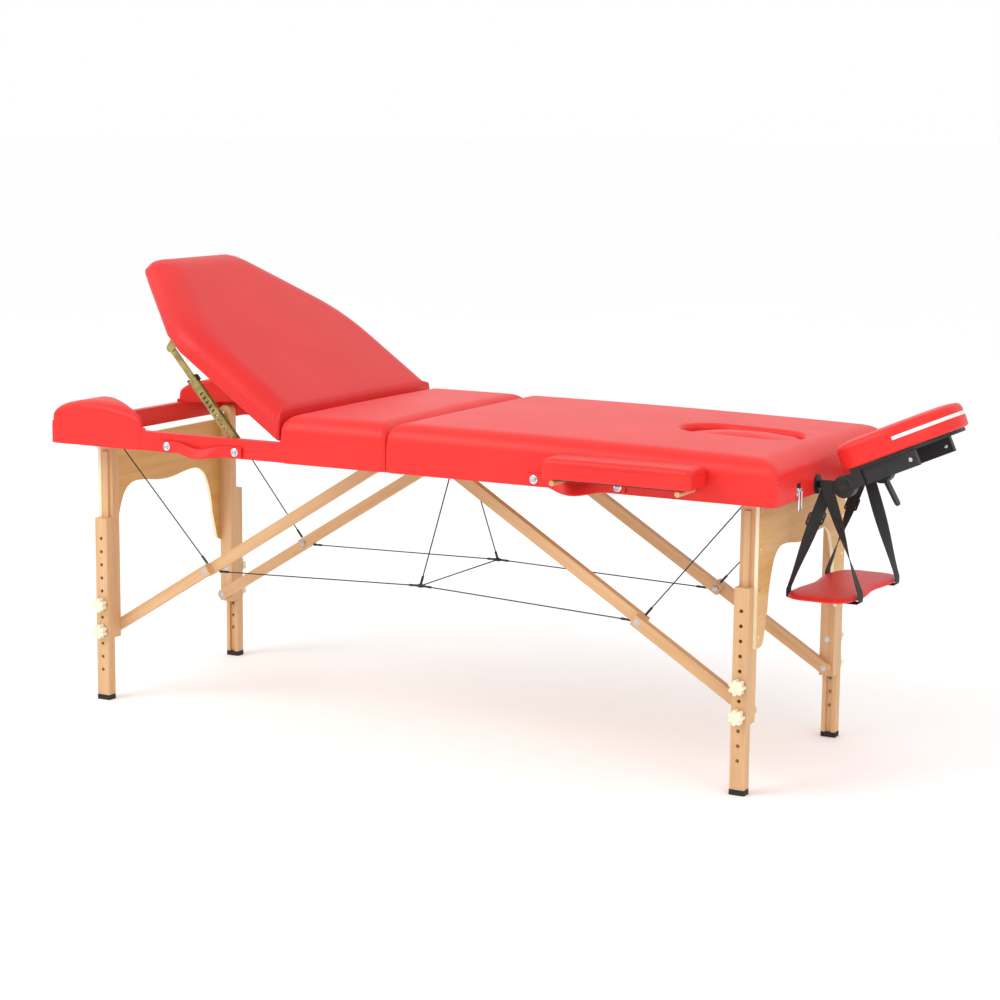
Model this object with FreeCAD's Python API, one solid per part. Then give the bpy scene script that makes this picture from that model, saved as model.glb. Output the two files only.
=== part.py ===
import FreeCAD, Part
import math
import os
from FreeCAD import Vector

# Folding massage table: two hinged halves on folding legs, with a raised backrest,
# a face cradle with an arm sling, and two side armrests.
# Millimetres and degrees. +Z is up, the floor is z = 0, and +X runs towards the face cradle.
# Sizes are laid out with x = 0 at the centre hinge, and the whole table is moved along X at the end.

# Top and frame
TOP_LENGTH = 1860.0
TOP_WIDTH = 700.0
FRAME_HEIGHT = 637.0
RAIL_HEIGHT = 45.0
RAIL_THICK = 20.0
BOARD_THICK = 8.0
BOARD_INSET = 1.0
PAD_THICK = 55.0
SEAM_GAP = 2.0
SOFT_GAP = 0.3
RUNNING_GAP = 0.05
SLIDING_GAP = 0.3

# Pad shaping
PAD_CORNER = 30.0
PAD_CROWN = 4.0
PAD_BULGE = 1.5
DRAW_IN = 3.0
SEAM_ROUND = (22.0, 20.0)
END_ROUND = (44.0, 33.0)
ROUND_INSET = 7.0
END_TURNS = (0, 20, 40, 60, 90)
WAIST_SHARES = (0.2, 0.35, 0.5, 0.65, 0.8)

# Centre hinges
HINGE_DROP = 9.0
HINGE_KNUCKLE_R = 3.2
HINGE_PIN_R = 1.6
HINGE_LEAF = (36.0, 60.0, 2.0)
HINGE_LEAF_START = 4.0
HINGE_YS = (-240.0, 0.0, 240.0)
KNUCKLE_GAP = 0.4

# Legs
LEG_INSET = 95.0
LEG_WIDTH = 34.0
LEG_PIVOT_RISE = 17.0
UPPER_LEG_Y = 240.0
UPPER_LEG_DEPTH = 25.0
UPPER_LEG_TAIL = 21.0
TONGUE_WIDTH = 14.0
TONGUE_HEIGHT = 6.0
TONGUE_START = 42.0
LOWER_LEG_DEPTH = 26.0
LOWER_LEG_OVERLAP = 277.0
FOOT_HEIGHT = 12.0
FOOT_OVERHANG = 1.0
HOLE_PITCH = 32.5
HOLE_COUNT = 11
UPPER_BOLT_HOLE = 6
LOWER_BOLT_HOLE = 8
LEG_HOLE_R = 4.3
LEG_BOLT_R = 4.0
LEG_BOLT_HEAD = (7.0, 4.0)
HEAD_GAP = 0.3
KNOB_R = 13.0
KNOB_LOBE_R = 4.6
KNOB_LOBES = 7
KNOB_HEIGHT = 15.0
KNOB_COLLAR = (8.5, 4.0)

# Braces
BRACE_PIVOT_X = 37.0
BRACE_PIVOT_RISE = 31.0
BRACE_DROP = 481.0
BRACE_WIDTH = 26.0
BRACE_THICK = 19.0
BRACE_GAP = 0.5
UPPER_BRACE_TAIL = 10.0
LOWER_BRACE_TAIL = 12.0
PIVOT_BOLT_R = 4.0
PIVOT_HEAD = (7.5, 3.0)
PIVOT_HEAD_GAP = 0.4
LEG_BOLT_REACH = 14.0
LEG_BLOCK = (44.0, 5.0)
BRACE_BLOCK = (47.0, 30.0, 6.0)
BLOCK_GAP = 1.0

# End panels
PANEL_THICK = 8.0
PANEL_TOP_DROP = 3.0
PANEL_BOW_DROP = 128.0
PANEL_ARCH_DROP = 117.0
PANEL_ARCH_INSET = 143.0
PANEL_SHOULDER_INSET = 87.0
PANEL_SHOULDER_DROP = 149.0
PANEL_LOBE_INSET = 61.0
PANEL_LOBE_DROP = 242.0
PANEL_LOBE_SWELL = 5.0
PANEL_TIP_DROP = 321.0
PANEL_TIP_R = 22.0

# Backrest and its struts
BACKREST_X = -281.0
BACKREST_ANGLE = 35.0
BACKREST_BARREL_R = 4.0
BACKREST_PIN_R = 2.0
BACKREST_HINGE_Y = 100.0
BACKREST_HINGE_LENGTH = 60.0
BACKREST_LEAF = (32.0, 2.0)
BACKREST_BOARD_START = 11.0
BACKREST_SHOULDER = 368.0
BACKREST_END_WIDTH = 312.0
BACKREST_END_INSET = 16.0
BACKREST_SHOULDER_CUT = 30.0
BACKREST_END_CUT = (40.0, 50.0)
BACKREST_CUT_STEPS = (13.0, 20.0, 29.0, 38.0)
BACKREST_CUT_GAP = 1.5
BACKREST_ROUND = ((52.0, 4.0), (72.0, 0.0))
BACKREST_STEPS = (200.0, 340.0, 385.0, 430.0, 520.0, 590.0)
CORNER_PROFILE = ((0.0, 20.0), (0.06, 35.0), (0.22, 50.0), (0.42, 54.0), (0.64, 47.0), (0.82, 35.0), (0.95, 20.0))
CORNER_CROWN = 0.06
SEAT_GAP = 2.0
DIAGONAL_GAP = 6.0
STRUT_FOOT_X = -400.0
STRUT_FOOT_RISE = 17.0
STRUT_HEAD_S = 375.0
STRUT_HEAD_DROP = 16.0
STRUT_SIDE_GAP = 1.0
STRUT_DEPTH = 12.0
STRUT_WIDTH = 22.0
STRUT_WALL = 1.5
STRUT_LENGTH = 208.0
STRUT_TAIL = 12.0
STRUT_SLOTS = 12
STRUT_SLOT = (4.0, 10.0, 12.5, 28.0)
STRUT_COLLAR = (15.0, 2.5, 4.0)
STRUT_BAR = (15.0, 4.0, 195.0)
STRUT_STUD_R = 4.0
STRUT_PLATE = (3.0, 10.0)
STRUT_PLATE_GAP = 0.4

# Face hole and plug
FACE_HOLE_INSET = 220.0
FACE_HOLE = (282.0, 150.0)
FACE_HOLE_FLARE = 12.0
FACE_LEDGE = 16.0
PLUG_GAP = 2.0
PLUG_SINK = 7.0
PLUG_PROFILE = ((0.0, 2.0), (0.12, 0.0), (0.68, 0.0), (0.87, 5.0), (0.96, 16.0), (1.0, 40.0))

# Carry handles
HANDLE_INSET_RIGHT = 357.0
HANDLE_SPAN_RIGHT = 199.0
HANDLE_INSET_LEFT = 340.0
HANDLE_SPAN_LEFT = 190.0
HANDLE_RISE = 15.0
HANDLE_HEIGHT = 26.0
HANDLE_THICK = 5.0
HANDLE_BOW = 19.0
HANDLE_DROOP_LEFT = 9.0
HANDLE_DROOP_RIGHT = 14.0
HANDLE_TWIST = 40.0
HANDLE_STEPS = 12
HANDLE_TAB = 18.0
CUP_WASHER = (9.0, 2.0)
SCREW_HEAD = (5.0, 2.5)
SCREW_R = 2.2
SCREW_LENGTH = 14.0

# Draw latches
LATCH_Y = 230.0
LATCH_PLATE = (22.0, 2.0, 8.0, 36.0)
LATCH_PIVOT = (6.0, 22.0)
LATCH_EAR = (8.0, 3.4)
BAIL_R = 1.6
BAIL_WIDTH = 16.0
BAIL_LENGTH = 42.0
KEEPER = (20.0, 2.0, 0.5, 30.0)
KEEPER_LIP = (6.0, 3.0)

# Face cradle
POST_Y = 120.0
POST_RISE = 20.0
POST_R = 8.0
POST_DEPTH = 45.0
SOCKET_R = 11.0
FLANGE = (21.0, 4.5)
HUB_REACH = 66.0
HUB_R = 24.0
HUB_DEPTH = 28.0
HUB_CHEEK = 5.0
CRADLE_TILT = 24.0
CRADLE_ARM = (16.0, -12.0, 172.0)
PLATFORM_N = 22.0
PLATFORM_THICK = 8.0
PLATFORM_HALF = 38.0
CROSSBAR = (34.0, 54.0, -10.0, 8.0)
CUSHION_START = 3.0
CUSHION_LENGTH = 250.0
CUSHION_HALF = 48.0
CUSHION_MID_Y = 97.0
CUSHION_THICK = 59.0
CUSHION_CORNER = 14.0
CUSHION_CROWN = 5.0
LEVER_R = 7.0
LEVER_LENGTH = 62.0
LEVER_WIDTH = 22.0
LEVER_ANGLE = 60.0
LEVER_THICK = 6.0

# Arm sling
STRAP_WIDTH = 28.0
STRAP_THICK = 1.6
STRAP_REACH = 26.0
STRAP_GAP = 0.3
STRAP_SPREAD = 11.0
SHELF_DROP = 248.0
SHELF_HALF = 82.0
SHELF_WAIST = 68.0
SHELF_REACH = 185.0
SHELF_THICK = 15.0

# Side armrests
ARMREST_INSET = 154.0
ARMREST_LENGTH = 342.0
ARMREST_DEPTH = 90.0
ARMREST_RISE = 33.0
ARMREST_THICK = 44.0
ARMREST_BOARD = (5.0, 24.0)
ARMREST_SIDE_GAP = 2.5
DOWEL_R = 6.0
DOWEL_INSETS = (22.0, 31.0)
DOWEL_SINK = 2.0
DOWEL_INNER = 8.0
DOWEL_OUTER = 8.0

# Cables
CABLE_R = 1.5
SLEEVE_R = 3.0
SLEEVE_LENGTH = 24.0
CABLE_CLIP_INSET = 20.5
CABLE_CLIP_DROP = 285.0
CABLE_DROP_Y = 34.0
CABLE_CLIP_R = 4.5
CABLE_KNEE_STEP = 22.0
CABLE_GAP = 0.3

# Sizes that follow from the ones above
HALF_LENGTH = TOP_LENGTH / 2
HALF_WIDTH = TOP_WIDTH / 2
HALF_START = SEAM_GAP / 2
RAIL_TOP = FRAME_HEIGHT + RAIL_HEIGHT
BOARD_TOP = RAIL_TOP + BOARD_THICK
PAD_BOTTOM = BOARD_TOP + SOFT_GAP
PAD_TOP = PAD_BOTTOM + PAD_THICK
RAIL_INNER = HALF_WIDTH - RAIL_THICK
HANDLE_SCREWS_RIGHT = (HALF_LENGTH - HANDLE_INSET_RIGHT - HANDLE_SPAN_RIGHT, HALF_LENGTH - HANDLE_INSET_RIGHT)
HANDLE_SCREWS_LEFT = (HANDLE_INSET_LEFT - HALF_LENGTH, HANDLE_INSET_LEFT + HANDLE_SPAN_LEFT - HALF_LENGTH)
HINGE_Z = FRAME_HEIGHT - HINGE_DROP
LEG_X = HALF_LENGTH - LEG_INSET
LEG_PIVOT_Z = FRAME_HEIGHT + LEG_PIVOT_RISE
BRACE_PIVOT_Z = FRAME_HEIGHT + BRACE_PIVOT_RISE
FACE_HOLE_X = HALF_LENGTH - FACE_HOLE_INSET
LEG_HALF = LEG_WIDTH / 2
UPPER_LEG_OUT = UPPER_LEG_Y + UPPER_LEG_DEPTH
LOWER_LEG_IN = UPPER_LEG_OUT + SLIDING_GAP
LOWER_LEG_OUT = LOWER_LEG_IN + LOWER_LEG_DEPTH
LOWER_BOLT_Z = LEG_PIVOT_Z - BRACE_DROP
UPPER_BOLT_Z = LOWER_BOLT_Z + (LOWER_BOLT_HOLE - UPPER_BOLT_HOLE) * HOLE_PITCH
TOP_HOLE_Z = LOWER_BOLT_Z + (LOWER_BOLT_HOLE - 1) * HOLE_PITCH
LOWER_LEG_TOP = LOWER_BOLT_Z + LOWER_LEG_OVERLAP
LOWER_BRACE_OUT = UPPER_LEG_Y - BRACE_GAP
LOWER_BRACE_IN = LOWER_BRACE_OUT - BRACE_THICK
UPPER_BRACE_OUT = LOWER_BRACE_IN - BRACE_GAP
UPPER_BRACE_IN = UPPER_BRACE_OUT - BRACE_THICK
BRACE_RUN = LEG_X - BRACE_PIVOT_X
BRACE_RISE = BRACE_PIVOT_Z - LOWER_BOLT_Z
BRACE_SPAN = math.hypot(BRACE_RUN, BRACE_RISE)
BRACE_FOLDED_SPAN = BRACE_RUN - BRACE_DROP
UPPER_BRACE_LENGTH = (BRACE_SPAN + BRACE_FOLDED_SPAN) / 2
LOWER_BRACE_LENGTH = BRACE_SPAN - UPPER_BRACE_LENGTH
BRACE_DIR = (BRACE_RUN / BRACE_SPAN, -BRACE_RISE / BRACE_SPAN)
BRACE_ANGLE = math.degrees(math.atan2(BRACE_RISE, BRACE_RUN))
CABLE_Y = (UPPER_BRACE_IN + UPPER_BRACE_OUT) / 2
CABLE_MID = (CABLE_Y - CABLE_CLIP_INSET, FRAME_HEIGHT - CABLE_CLIP_DROP)
KNEE = (BRACE_PIVOT_X + UPPER_BRACE_LENGTH * BRACE_DIR[0], BRACE_PIVOT_Z + UPPER_BRACE_LENGTH * BRACE_DIR[1])
BACKREST_Z = RAIL_TOP - BACKREST_BARREL_R
BACKREST_LENGTH = HALF_LENGTH + BACKREST_X - BACKREST_END_INSET
STRUT_FOOT = (STRUT_FOOT_X, FRAME_HEIGHT + STRUT_FOOT_RISE)
STRUT_OUT = RAIL_INNER - STRUT_SIDE_GAP
STRUT_IN = STRUT_OUT - STRUT_DEPTH
POST_Z = FRAME_HEIGHT + POST_RISE
HUB_X = HALF_LENGTH + HUB_REACH
CUSHION_N = PLATFORM_N + PLATFORM_THICK + SOFT_GAP
LEVER_PIVOT = ((CROSSBAR[0] + CROSSBAR[1]) / 2, CROSSBAR[2] - LEVER_R - SOFT_GAP)
STRAP_X = HALF_LENGTH + STRAP_REACH
SHELF_Z = POST_Z - SHELF_DROP
ARMREST_X = (HALF_LENGTH - ARMREST_INSET - ARMREST_LENGTH, HALF_LENGTH - ARMREST_INSET)
DOWEL_XS = (ARMREST_X[0] + DOWEL_INSETS[0], ARMREST_X[1] - DOWEL_INSETS[1])
ARMREST_BOTTOM = FRAME_HEIGHT + ARMREST_RISE
ARMREST_IN = HALF_WIDTH + ARMREST_SIDE_GAP
ARMREST_OUT = ARMREST_IN + ARMREST_DEPTH
DOWEL_Z = ARMREST_BOTTOM - SOFT_GAP - ARMREST_BOARD[0] - DOWEL_R + DOWEL_SINK


def strut_head(angle):
    """Place of the strut's upper pivot in X and Z with the backrest raised by an angle."""
    turn = math.radians(angle)
    x = -STRUT_HEAD_S * math.cos(turn) - STRUT_HEAD_DROP * math.sin(turn)
    z = STRUT_HEAD_S * math.sin(turn) - STRUT_HEAD_DROP * math.cos(turn)
    return BACKREST_X + x, BACKREST_Z + z


def strut_reach(angle):
    """Length and slope of the strut with the backrest raised by an angle."""
    head = strut_head(angle)
    run = STRUT_FOOT[0] - head[0]
    rise = head[1] - STRUT_FOOT[1]
    return math.hypot(run, rise), math.degrees(math.atan2(rise, run))


STRUT_REACH, STRUT_SLOPE = strut_reach(BACKREST_ANGLE)


def block(x_span, y_span, z_span):
    """Box between pairs of limits."""
    corner = Vector(min(x_span), min(y_span), min(z_span))
    size = [abs(span[1] - span[0]) for span in (x_span, y_span, z_span)]
    return Part.makeBox(size[0], size[1], size[2], corner)


def rod(start, end, radius):
    """Round bar between two points."""
    axis = end - start
    return Part.makeCylinder(radius, axis.Length, start, axis)


def cross_rod(x, z, y_span, radius):
    """Round bar along Y at a place in X and Z."""
    return rod(Vector(x, min(y_span), z), Vector(x, max(y_span), z), radius)


def far(shape):
    """The far side's copy of a near-side shape, or the other way round."""
    return shape.mirror(Vector(0, 0, 0), Vector(0, 1, 0))


def both(shape):
    """A shape and its copy on the other long side."""
    return [shape, far(shape)]


def at_end(shape, side):
    """A shape built at the right-hand end, for the end that side names: 1 right, -1 left."""
    return shape if side > 0 else shape.mirror(Vector(0, 0, 0), Vector(1, 0, 0))


def fused(shapes):
    """One clean solid from shapes that join."""
    whole = shapes[0].multiFuse(shapes[1:]) if len(shapes) > 1 else shapes[0]
    return whole.removeSplitter()


def prism(points, rise):
    """Solid from a closed outline of corners, carried along a vector."""
    return Part.Face(Part.makePolygon(points + points[:1])).extrude(rise)


def arc(a, b, c):
    """Arc edge from a through b to c."""
    return Part.Arc(a, b, c).toShape()


def line(a, b):
    """Straight edge."""
    return Part.LineSegment(a, b).toShape()


def slope_to(shape, origin, slope):
    """Turn a shape laid along +X up by a slope in the XZ plane, then carry its origin to a point."""
    turned = shape.copy()
    turned.rotate(Vector(0, 0, 0), Vector(0, 1, 0), -slope)
    turned.translate(origin)
    return turned


def pad_section(x, mid, half, bottom, height, crown):
    """Section of a pad across X: flat base, bulging sides, round shoulders and a crowned top."""
    corner = min(PAD_CORNER, 0.6 * height, 0.6 * half)
    bulge = PAD_BULGE * min(1.0, height / PAD_THICK)
    shoulder = bottom + height - corner
    top = bottom + height
    lean = corner * (1 - math.sqrt(0.5))

    def at(y, z):
        return Vector(x, mid + y, z)

    edges = [
        line(at(-half, bottom), at(half, bottom)),
        arc(at(half, bottom), at(half + bulge, (bottom + shoulder) / 2), at(half, shoulder)),
        arc(at(half, shoulder), at(half - lean, top - lean), at(half - corner, top)),
        arc(at(half - corner, top), at(0, top + crown), at(corner - half, top)),
        arc(at(corner - half, top), at(lean - half, top - lean), at(-half, shoulder)),
        arc(at(-half, shoulder), at(-half - bulge, (bottom + shoulder) / 2), at(-half, bottom)),
    ]
    return Part.Wire(edges)


def pad_loft(stations, mid, bottom, crown=PAD_CROWN):
    """Pad through stations of x, half width and height, ruled so that it can't wave between them."""
    wires = [pad_section(x, mid, half, bottom, height, crown) for x, half, height in stations]
    return Part.makeLoft(wires, True, True)


def rounded_end(x, inward, half, height, size):
    """Stations of a pad's end that rounds over from its face up to the top."""
    depth, drop = size
    stations = []
    for turn in END_TURNS:
        lift = math.sin(math.radians(turn))
        run = 1 - math.cos(math.radians(turn))
        stations.append((x + inward * depth * run, half - ROUND_INSET * (1 - lift), height - drop * (1 - lift)))
    return stations


def slab_pad(x0, x1, half, height, round0, round1):
    """Stations of a long pad with rounded ends and sides drawn in between its corners."""
    length = x1 - x0
    start = rounded_end(x0, 1, half, height, round0)
    end = rounded_end(x1, -1, half, height, round1)
    middle = [(x0 + length * share, half - DRAW_IN * math.sin(math.pi * share), height) for share in WAIST_SHARES]
    return start + middle + end[::-1]


def oval(x, length, width, z):
    """Closed oval of two straight sides and four quarter arcs."""
    r = width / 2
    run = length / 2 - r
    q = r * math.sqrt(0.5)

    def at(dx, dy):
        return Vector(x + dx, dy, z)

    return Part.Wire([
        line(at(-run, -r), at(run, -r)),
        arc(at(run, -r), at(run + q, -q), at(run + r, 0)),
        arc(at(run + r, 0), at(run + q, q), at(run, r)),
        line(at(run, r), at(-run, r)),
        arc(at(-run, r), at(-run - q, q), at(-run - r, 0)),
        arc(at(-run - r, 0), at(-run - q, -q), at(-run, -r)),
    ])


def face_hole(z0, z1, shrink):
    """Straight oval cutter of the face hole."""
    wire = oval(FACE_HOLE_X, FACE_HOLE[0] - 2 * shrink, FACE_HOLE[1] - 2 * shrink, z0)
    return Part.Face(wire).extrude(Vector(0, 0, z1 - z0))


# Frames of the two halves


def side_rails(side):
    """The two long rails of a half, with holes for what passes through them."""
    rail = block((HALF_START, HALF_LENGTH), (RAIL_INNER, HALF_WIDTH), (FRAME_HEIGHT, RAIL_TOP))
    if side > 0:
        for x in DOWEL_XS:
            rail = rail.cut(cross_rod(x, DOWEL_Z, (RAIL_INNER, HALF_WIDTH), DOWEL_R + RUNNING_GAP))
    far_rail = at_end(rail, side)
    near_rail = far(far_rail)
    for x in HANDLE_SCREWS_RIGHT if side > 0 else HANDLE_SCREWS_LEFT:
        near_rail = near_rail.cut(handle_screw(x))
    return [near_rail, far_rail]


def cross_rails(side):
    """End rail and centre rail of a half, and the blocks that hold the leg and brace pivots."""
    z_span = (FRAME_HEIGHT, RAIL_TOP)
    y_span = (-RAIL_INNER, RAIL_INNER)
    end = block((HALF_LENGTH - RAIL_THICK, HALF_LENGTH), y_span, z_span)
    if side > 0:
        for y in (-POST_Y, POST_Y):
            start = Vector(HALF_LENGTH - RAIL_THICK, y, POST_Z)
            end = end.cut(rod(start, start + Vector(RAIL_THICK, 0, 0), SOCKET_R))
    centre_end = HALF_START + RAIL_THICK
    centre = block((HALF_START, centre_end), y_span, z_span)
    reach, lift = LEG_BLOCK
    leg_block = block((LEG_X - reach / 2, LEG_X + reach / 2), (UPPER_LEG_OUT + BLOCK_GAP, RAIL_INNER),
                      (FRAME_HEIGHT + lift, RAIL_TOP))
    length, width, brace_lift = BRACE_BLOCK
    brace_block = block((centre_end, centre_end + length), (UPPER_BRACE_OUT + BLOCK_GAP,
                        UPPER_BRACE_OUT + BLOCK_GAP + width), (FRAME_HEIGHT + brace_lift, RAIL_TOP))
    leg_block = leg_block.cut(leg_pivot_bolt())
    brace_block = brace_block.cut(brace_pivot_bolt())
    return [at_end(part, side) for part in [end, centre] + both(leg_block) + both(brace_block)]


def leg_pivot_bolt():
    """Far-side bolt that a leg swings on, with a stub inside the leg for the cable's eye."""
    shank = cross_rod(LEG_X, LEG_PIVOT_Z, (UPPER_LEG_Y - LEG_BOLT_REACH, RAIL_INNER - RAIL_THICK), PIVOT_BOLT_R)
    stub_end = UPPER_LEG_Y - LEG_BOLT_REACH
    head = cross_rod(LEG_X, LEG_PIVOT_Z, (stub_end, stub_end + PIVOT_HEAD[1]), PIVOT_HEAD[0])
    return fused([shank, head])


def brace_pivot_bolt():
    """Far-side bolt that an upper brace swings on."""
    head_out = UPPER_BRACE_IN - PIVOT_HEAD_GAP
    shank = cross_rod(BRACE_PIVOT_X, BRACE_PIVOT_Z, (head_out, UPPER_BRACE_OUT + BRACE_BLOCK[1]), PIVOT_BOLT_R)
    head = cross_rod(BRACE_PIVOT_X, BRACE_PIVOT_Z, (head_out - PIVOT_HEAD[1], head_out), PIVOT_HEAD[0])
    return fused([shank, head])


def hinge_leaves(side):
    """Leaves of the centre hinges: the left half has the outer knuckles and the right half the middle one."""
    reach, length, thick = HINGE_LEAF
    third = length / 3
    leaves = []
    for y in HINGE_YS:
        if side > 0:
            spans = [(y - third / 2 + KNUCKLE_GAP, y + third / 2 - KNUCKLE_GAP)]
        else:
            spans = [(y - length / 2, y - third / 2), (y + third / 2, y + length / 2)]
        plate = block((HINGE_LEAF_START, reach), (y - length / 2, y + length / 2),
                      (FRAME_HEIGHT - thick, FRAME_HEIGHT))
        parts = [plate]
        for span in spans:
            tab = block((0, HINGE_LEAF_START), span, (HINGE_Z, FRAME_HEIGHT - thick / 2))
            parts += [tab, cross_rod(0, HINGE_Z, span, HINGE_KNUCKLE_R)]
        bore = cross_rod(0, HINGE_Z, (y - length, y + length), HINGE_PIN_R + RUNNING_GAP)
        leaves.append(at_end(fused(parts).cut(bore), side))
    return leaves


def hinge_pins():
    """Pins of the centre hinges; the middle one sticks out for the eyes of the cable drops."""
    pins = []
    for y in HINGE_YS:
        half = CABLE_DROP_Y + SLEEVE_R if y == 0 else HINGE_LEAF[1] / 2
        pins.append(cross_rod(0, HINGE_Z, (y - half, y + half), HINGE_PIN_R))
    return pins


def carry_handle(screws, droop):
    """Strap handle on the near rail: flat tabs at its screws, and a loop that sags outwards between them."""
    a, b = min(screws), max(screws)
    face = -HALF_WIDTH - SOFT_GAP
    middle = face - HANDLE_THICK / 2
    z = FRAME_HEIGHT + HANDLE_RISE
    start, end = a + HANDLE_TAB, b - HANDLE_TAB
    sections = []
    for index in range(HANDLE_STEPS + 1):
        share = index / HANDLE_STEPS
        swell = math.sin(math.pi * share) ** 2
        turn = math.radians(HANDLE_TWIST * swell)
        mid = Vector(start + share * (end - start), middle - HANDLE_BOW * swell, z - droop * swell)
        wide = Vector(0, -math.sin(turn), -math.cos(turn)) * (HANDLE_HEIGHT / 2)
        thin = Vector(0, -math.cos(turn), math.sin(turn)) * (HANDLE_THICK / 2)
        corners = [mid + wide + thin, mid - wide + thin, mid - wide - thin, mid + wide - thin]
        sections.append(Part.makePolygon(corners + corners[:1]))
    parts = [Part.makeLoft(sections, True, True)]
    for x in (a, b):
        parts.append(block((x - HANDLE_TAB, x + HANDLE_TAB), (face - HANDLE_THICK, face),
                           (z - HANDLE_HEIGHT / 2, z + HANDLE_HEIGHT / 2)))
    strap = fused(parts)
    for x in (a, b):
        strap = strap.cut(handle_screw(x))
    return [strap]


def handle_screw(x):
    """Handle screw with its cup washer, driven into the near rail."""
    face = -HALF_WIDTH - SOFT_GAP - HANDLE_THICK
    z = FRAME_HEIGHT + HANDLE_RISE
    washer_out = face - CUP_WASHER[1]
    return fused([
        cross_rod(x, z, (washer_out, face), CUP_WASHER[0]),
        cross_rod(x, z, (washer_out - SCREW_HEAD[1], washer_out), SCREW_HEAD[0]),
        cross_rod(x, z, (face, face + HANDLE_THICK + SCREW_LENGTH), SCREW_R),
    ])


def keeper():
    """Far latch keeper on the left end, a hooked plate."""
    width, thick, low, high = KEEPER
    lip, lip_height = KEEPER_LIP
    y_span = (LATCH_Y - width / 2, LATCH_Y + width / 2)
    plate = block((-HALF_LENGTH - thick, -HALF_LENGTH), y_span, (FRAME_HEIGHT + low, FRAME_HEIGHT + high))
    hook = block((-HALF_LENGTH - thick - lip, -HALF_LENGTH - thick), y_span,
                 (FRAME_HEIGHT + low, FRAME_HEIGHT + low + lip_height))
    return fused([plate, hook])


def latch_plate():
    """Far latch plate on the right end, with the ear that its bail turns in."""
    width, thick, low, high = LATCH_PLATE
    out, rise = LATCH_PIVOT
    ear_width, ear_r = LATCH_EAR
    plate = block((HALF_LENGTH, HALF_LENGTH + thick), (LATCH_Y - width / 2, LATCH_Y + width / 2),
                  (FRAME_HEIGHT + low, FRAME_HEIGHT + high))
    x, z = HALF_LENGTH + out, FRAME_HEIGHT + rise
    y_span = (LATCH_Y - ear_width / 2, LATCH_Y + ear_width / 2)
    ear = cross_rod(x, z, y_span, ear_r)
    web = block((HALF_LENGTH + thick, x), y_span, (z - ear_r, z + ear_r))
    bore = cross_rod(x, z, y_span, BAIL_R + RUNNING_GAP)
    return fused([plate, web, ear]).cut(bore)


def latch_bail():
    """Far latch bail, a closed wire loop that hangs from the ear."""
    x, z = HALF_LENGTH + LATCH_PIVOT[0], FRAME_HEIGHT + LATCH_PIVOT[1]
    half = BAIL_WIDTH / 2
    corners = [Vector(x, LATCH_Y - half, z), Vector(x, LATCH_Y + half, z),
               Vector(x, LATCH_Y + half, z - BAIL_LENGTH), Vector(x, LATCH_Y - half, z - BAIL_LENGTH)]
    wires = [rod(a, b, BAIL_R) for a, b in zip(corners, corners[1:] + corners[:1])]
    balls = [Part.makeSphere(BAIL_R, corner) for corner in corners]
    return fused(wires + balls)


def left_half_fittings():
    """Metal fittings of the left half."""
    bolts = [at_end(part, -1) for part in both(leg_pivot_bolt()) + both(brace_pivot_bolt())]
    screws = [handle_screw(x) for x in HANDLE_SCREWS_LEFT]
    stud = cross_rod(STRUT_FOOT[0], STRUT_FOOT[1], (STRUT_IN, RAIL_INNER), STRUT_STUD_R)
    return bolts + screws + both(stud) + both(keeper()) + both(seat_knuckles()) + hinge_leaves(-1)


def right_half_fittings():
    """Metal fittings of the right half."""
    bolts = both(leg_pivot_bolt()) + both(brace_pivot_bolt())
    screws = [handle_screw(x) for x in HANDLE_SCREWS_RIGHT]
    return bolts + screws + both(latch_plate()) + hinge_leaves(1)


# Deck boards, seat, corner pads and the right-hand pad


def corner_outline(z):
    """Corners of the far deck triangle beside the backrest's slanted edge."""
    end_half = BACKREST_END_WIDTH / 2 + DIAGONAL_GAP
    shoulder_x = BACKREST_X - BACKREST_SHOULDER - DIAGONAL_GAP
    return [Vector(-HALF_LENGTH, end_half, z), Vector(-HALF_LENGTH, HALF_WIDTH - BOARD_INSET, z),
            Vector(shoulder_x, HALF_WIDTH - BOARD_INSET, z)]


def left_boards():
    """Deck under the seat and under the two corner pads."""
    seat = block((BACKREST_X + SEAT_GAP, -HALF_START), (BOARD_INSET - HALF_WIDTH, HALF_WIDTH - BOARD_INSET),
                 (RAIL_TOP, BOARD_TOP))
    corner = prism(corner_outline(RAIL_TOP), Vector(0, 0, BOARD_THICK))
    return [seat] + both(corner)


def seat_pad():
    """Seat cushion between the backrest and the centre seam."""
    x0 = BACKREST_X + SEAT_GAP + SOFT_GAP
    return [pad_loft(slab_pad(x0, -HALF_START, HALF_WIDTH, PAD_THICK, SEAM_ROUND, SEAM_ROUND), 0, PAD_BOTTOM)]


def corner_pads():
    """Mounded cushions on the two corners of the head end."""
    points = corner_outline(PAD_BOTTOM)
    run = points[2].x - points[0].x
    full = points[1].y - points[0].y
    stations = []
    for share, height in CORNER_PROFILE:
        width = full * (1 - share)
        stations.append((points[0].x + run * share, points[1].y - width / 2, width / 2, height))
    wires = [pad_section(x, mid, half, PAD_BOTTOM, height, CORNER_CROWN * half) for x, mid, half, height in stations]
    return both(Part.makeLoft(wires, True, False))


def right_board():
    """Deck of the right half, with the smaller hole that the plug cushion rests on."""
    board = block((HALF_START, HALF_LENGTH), (BOARD_INSET - HALF_WIDTH, HALF_WIDTH - BOARD_INSET),
                  (RAIL_TOP, BOARD_TOP))
    return [board.cut(face_hole(RAIL_TOP, BOARD_TOP, FACE_LEDGE))]


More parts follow.
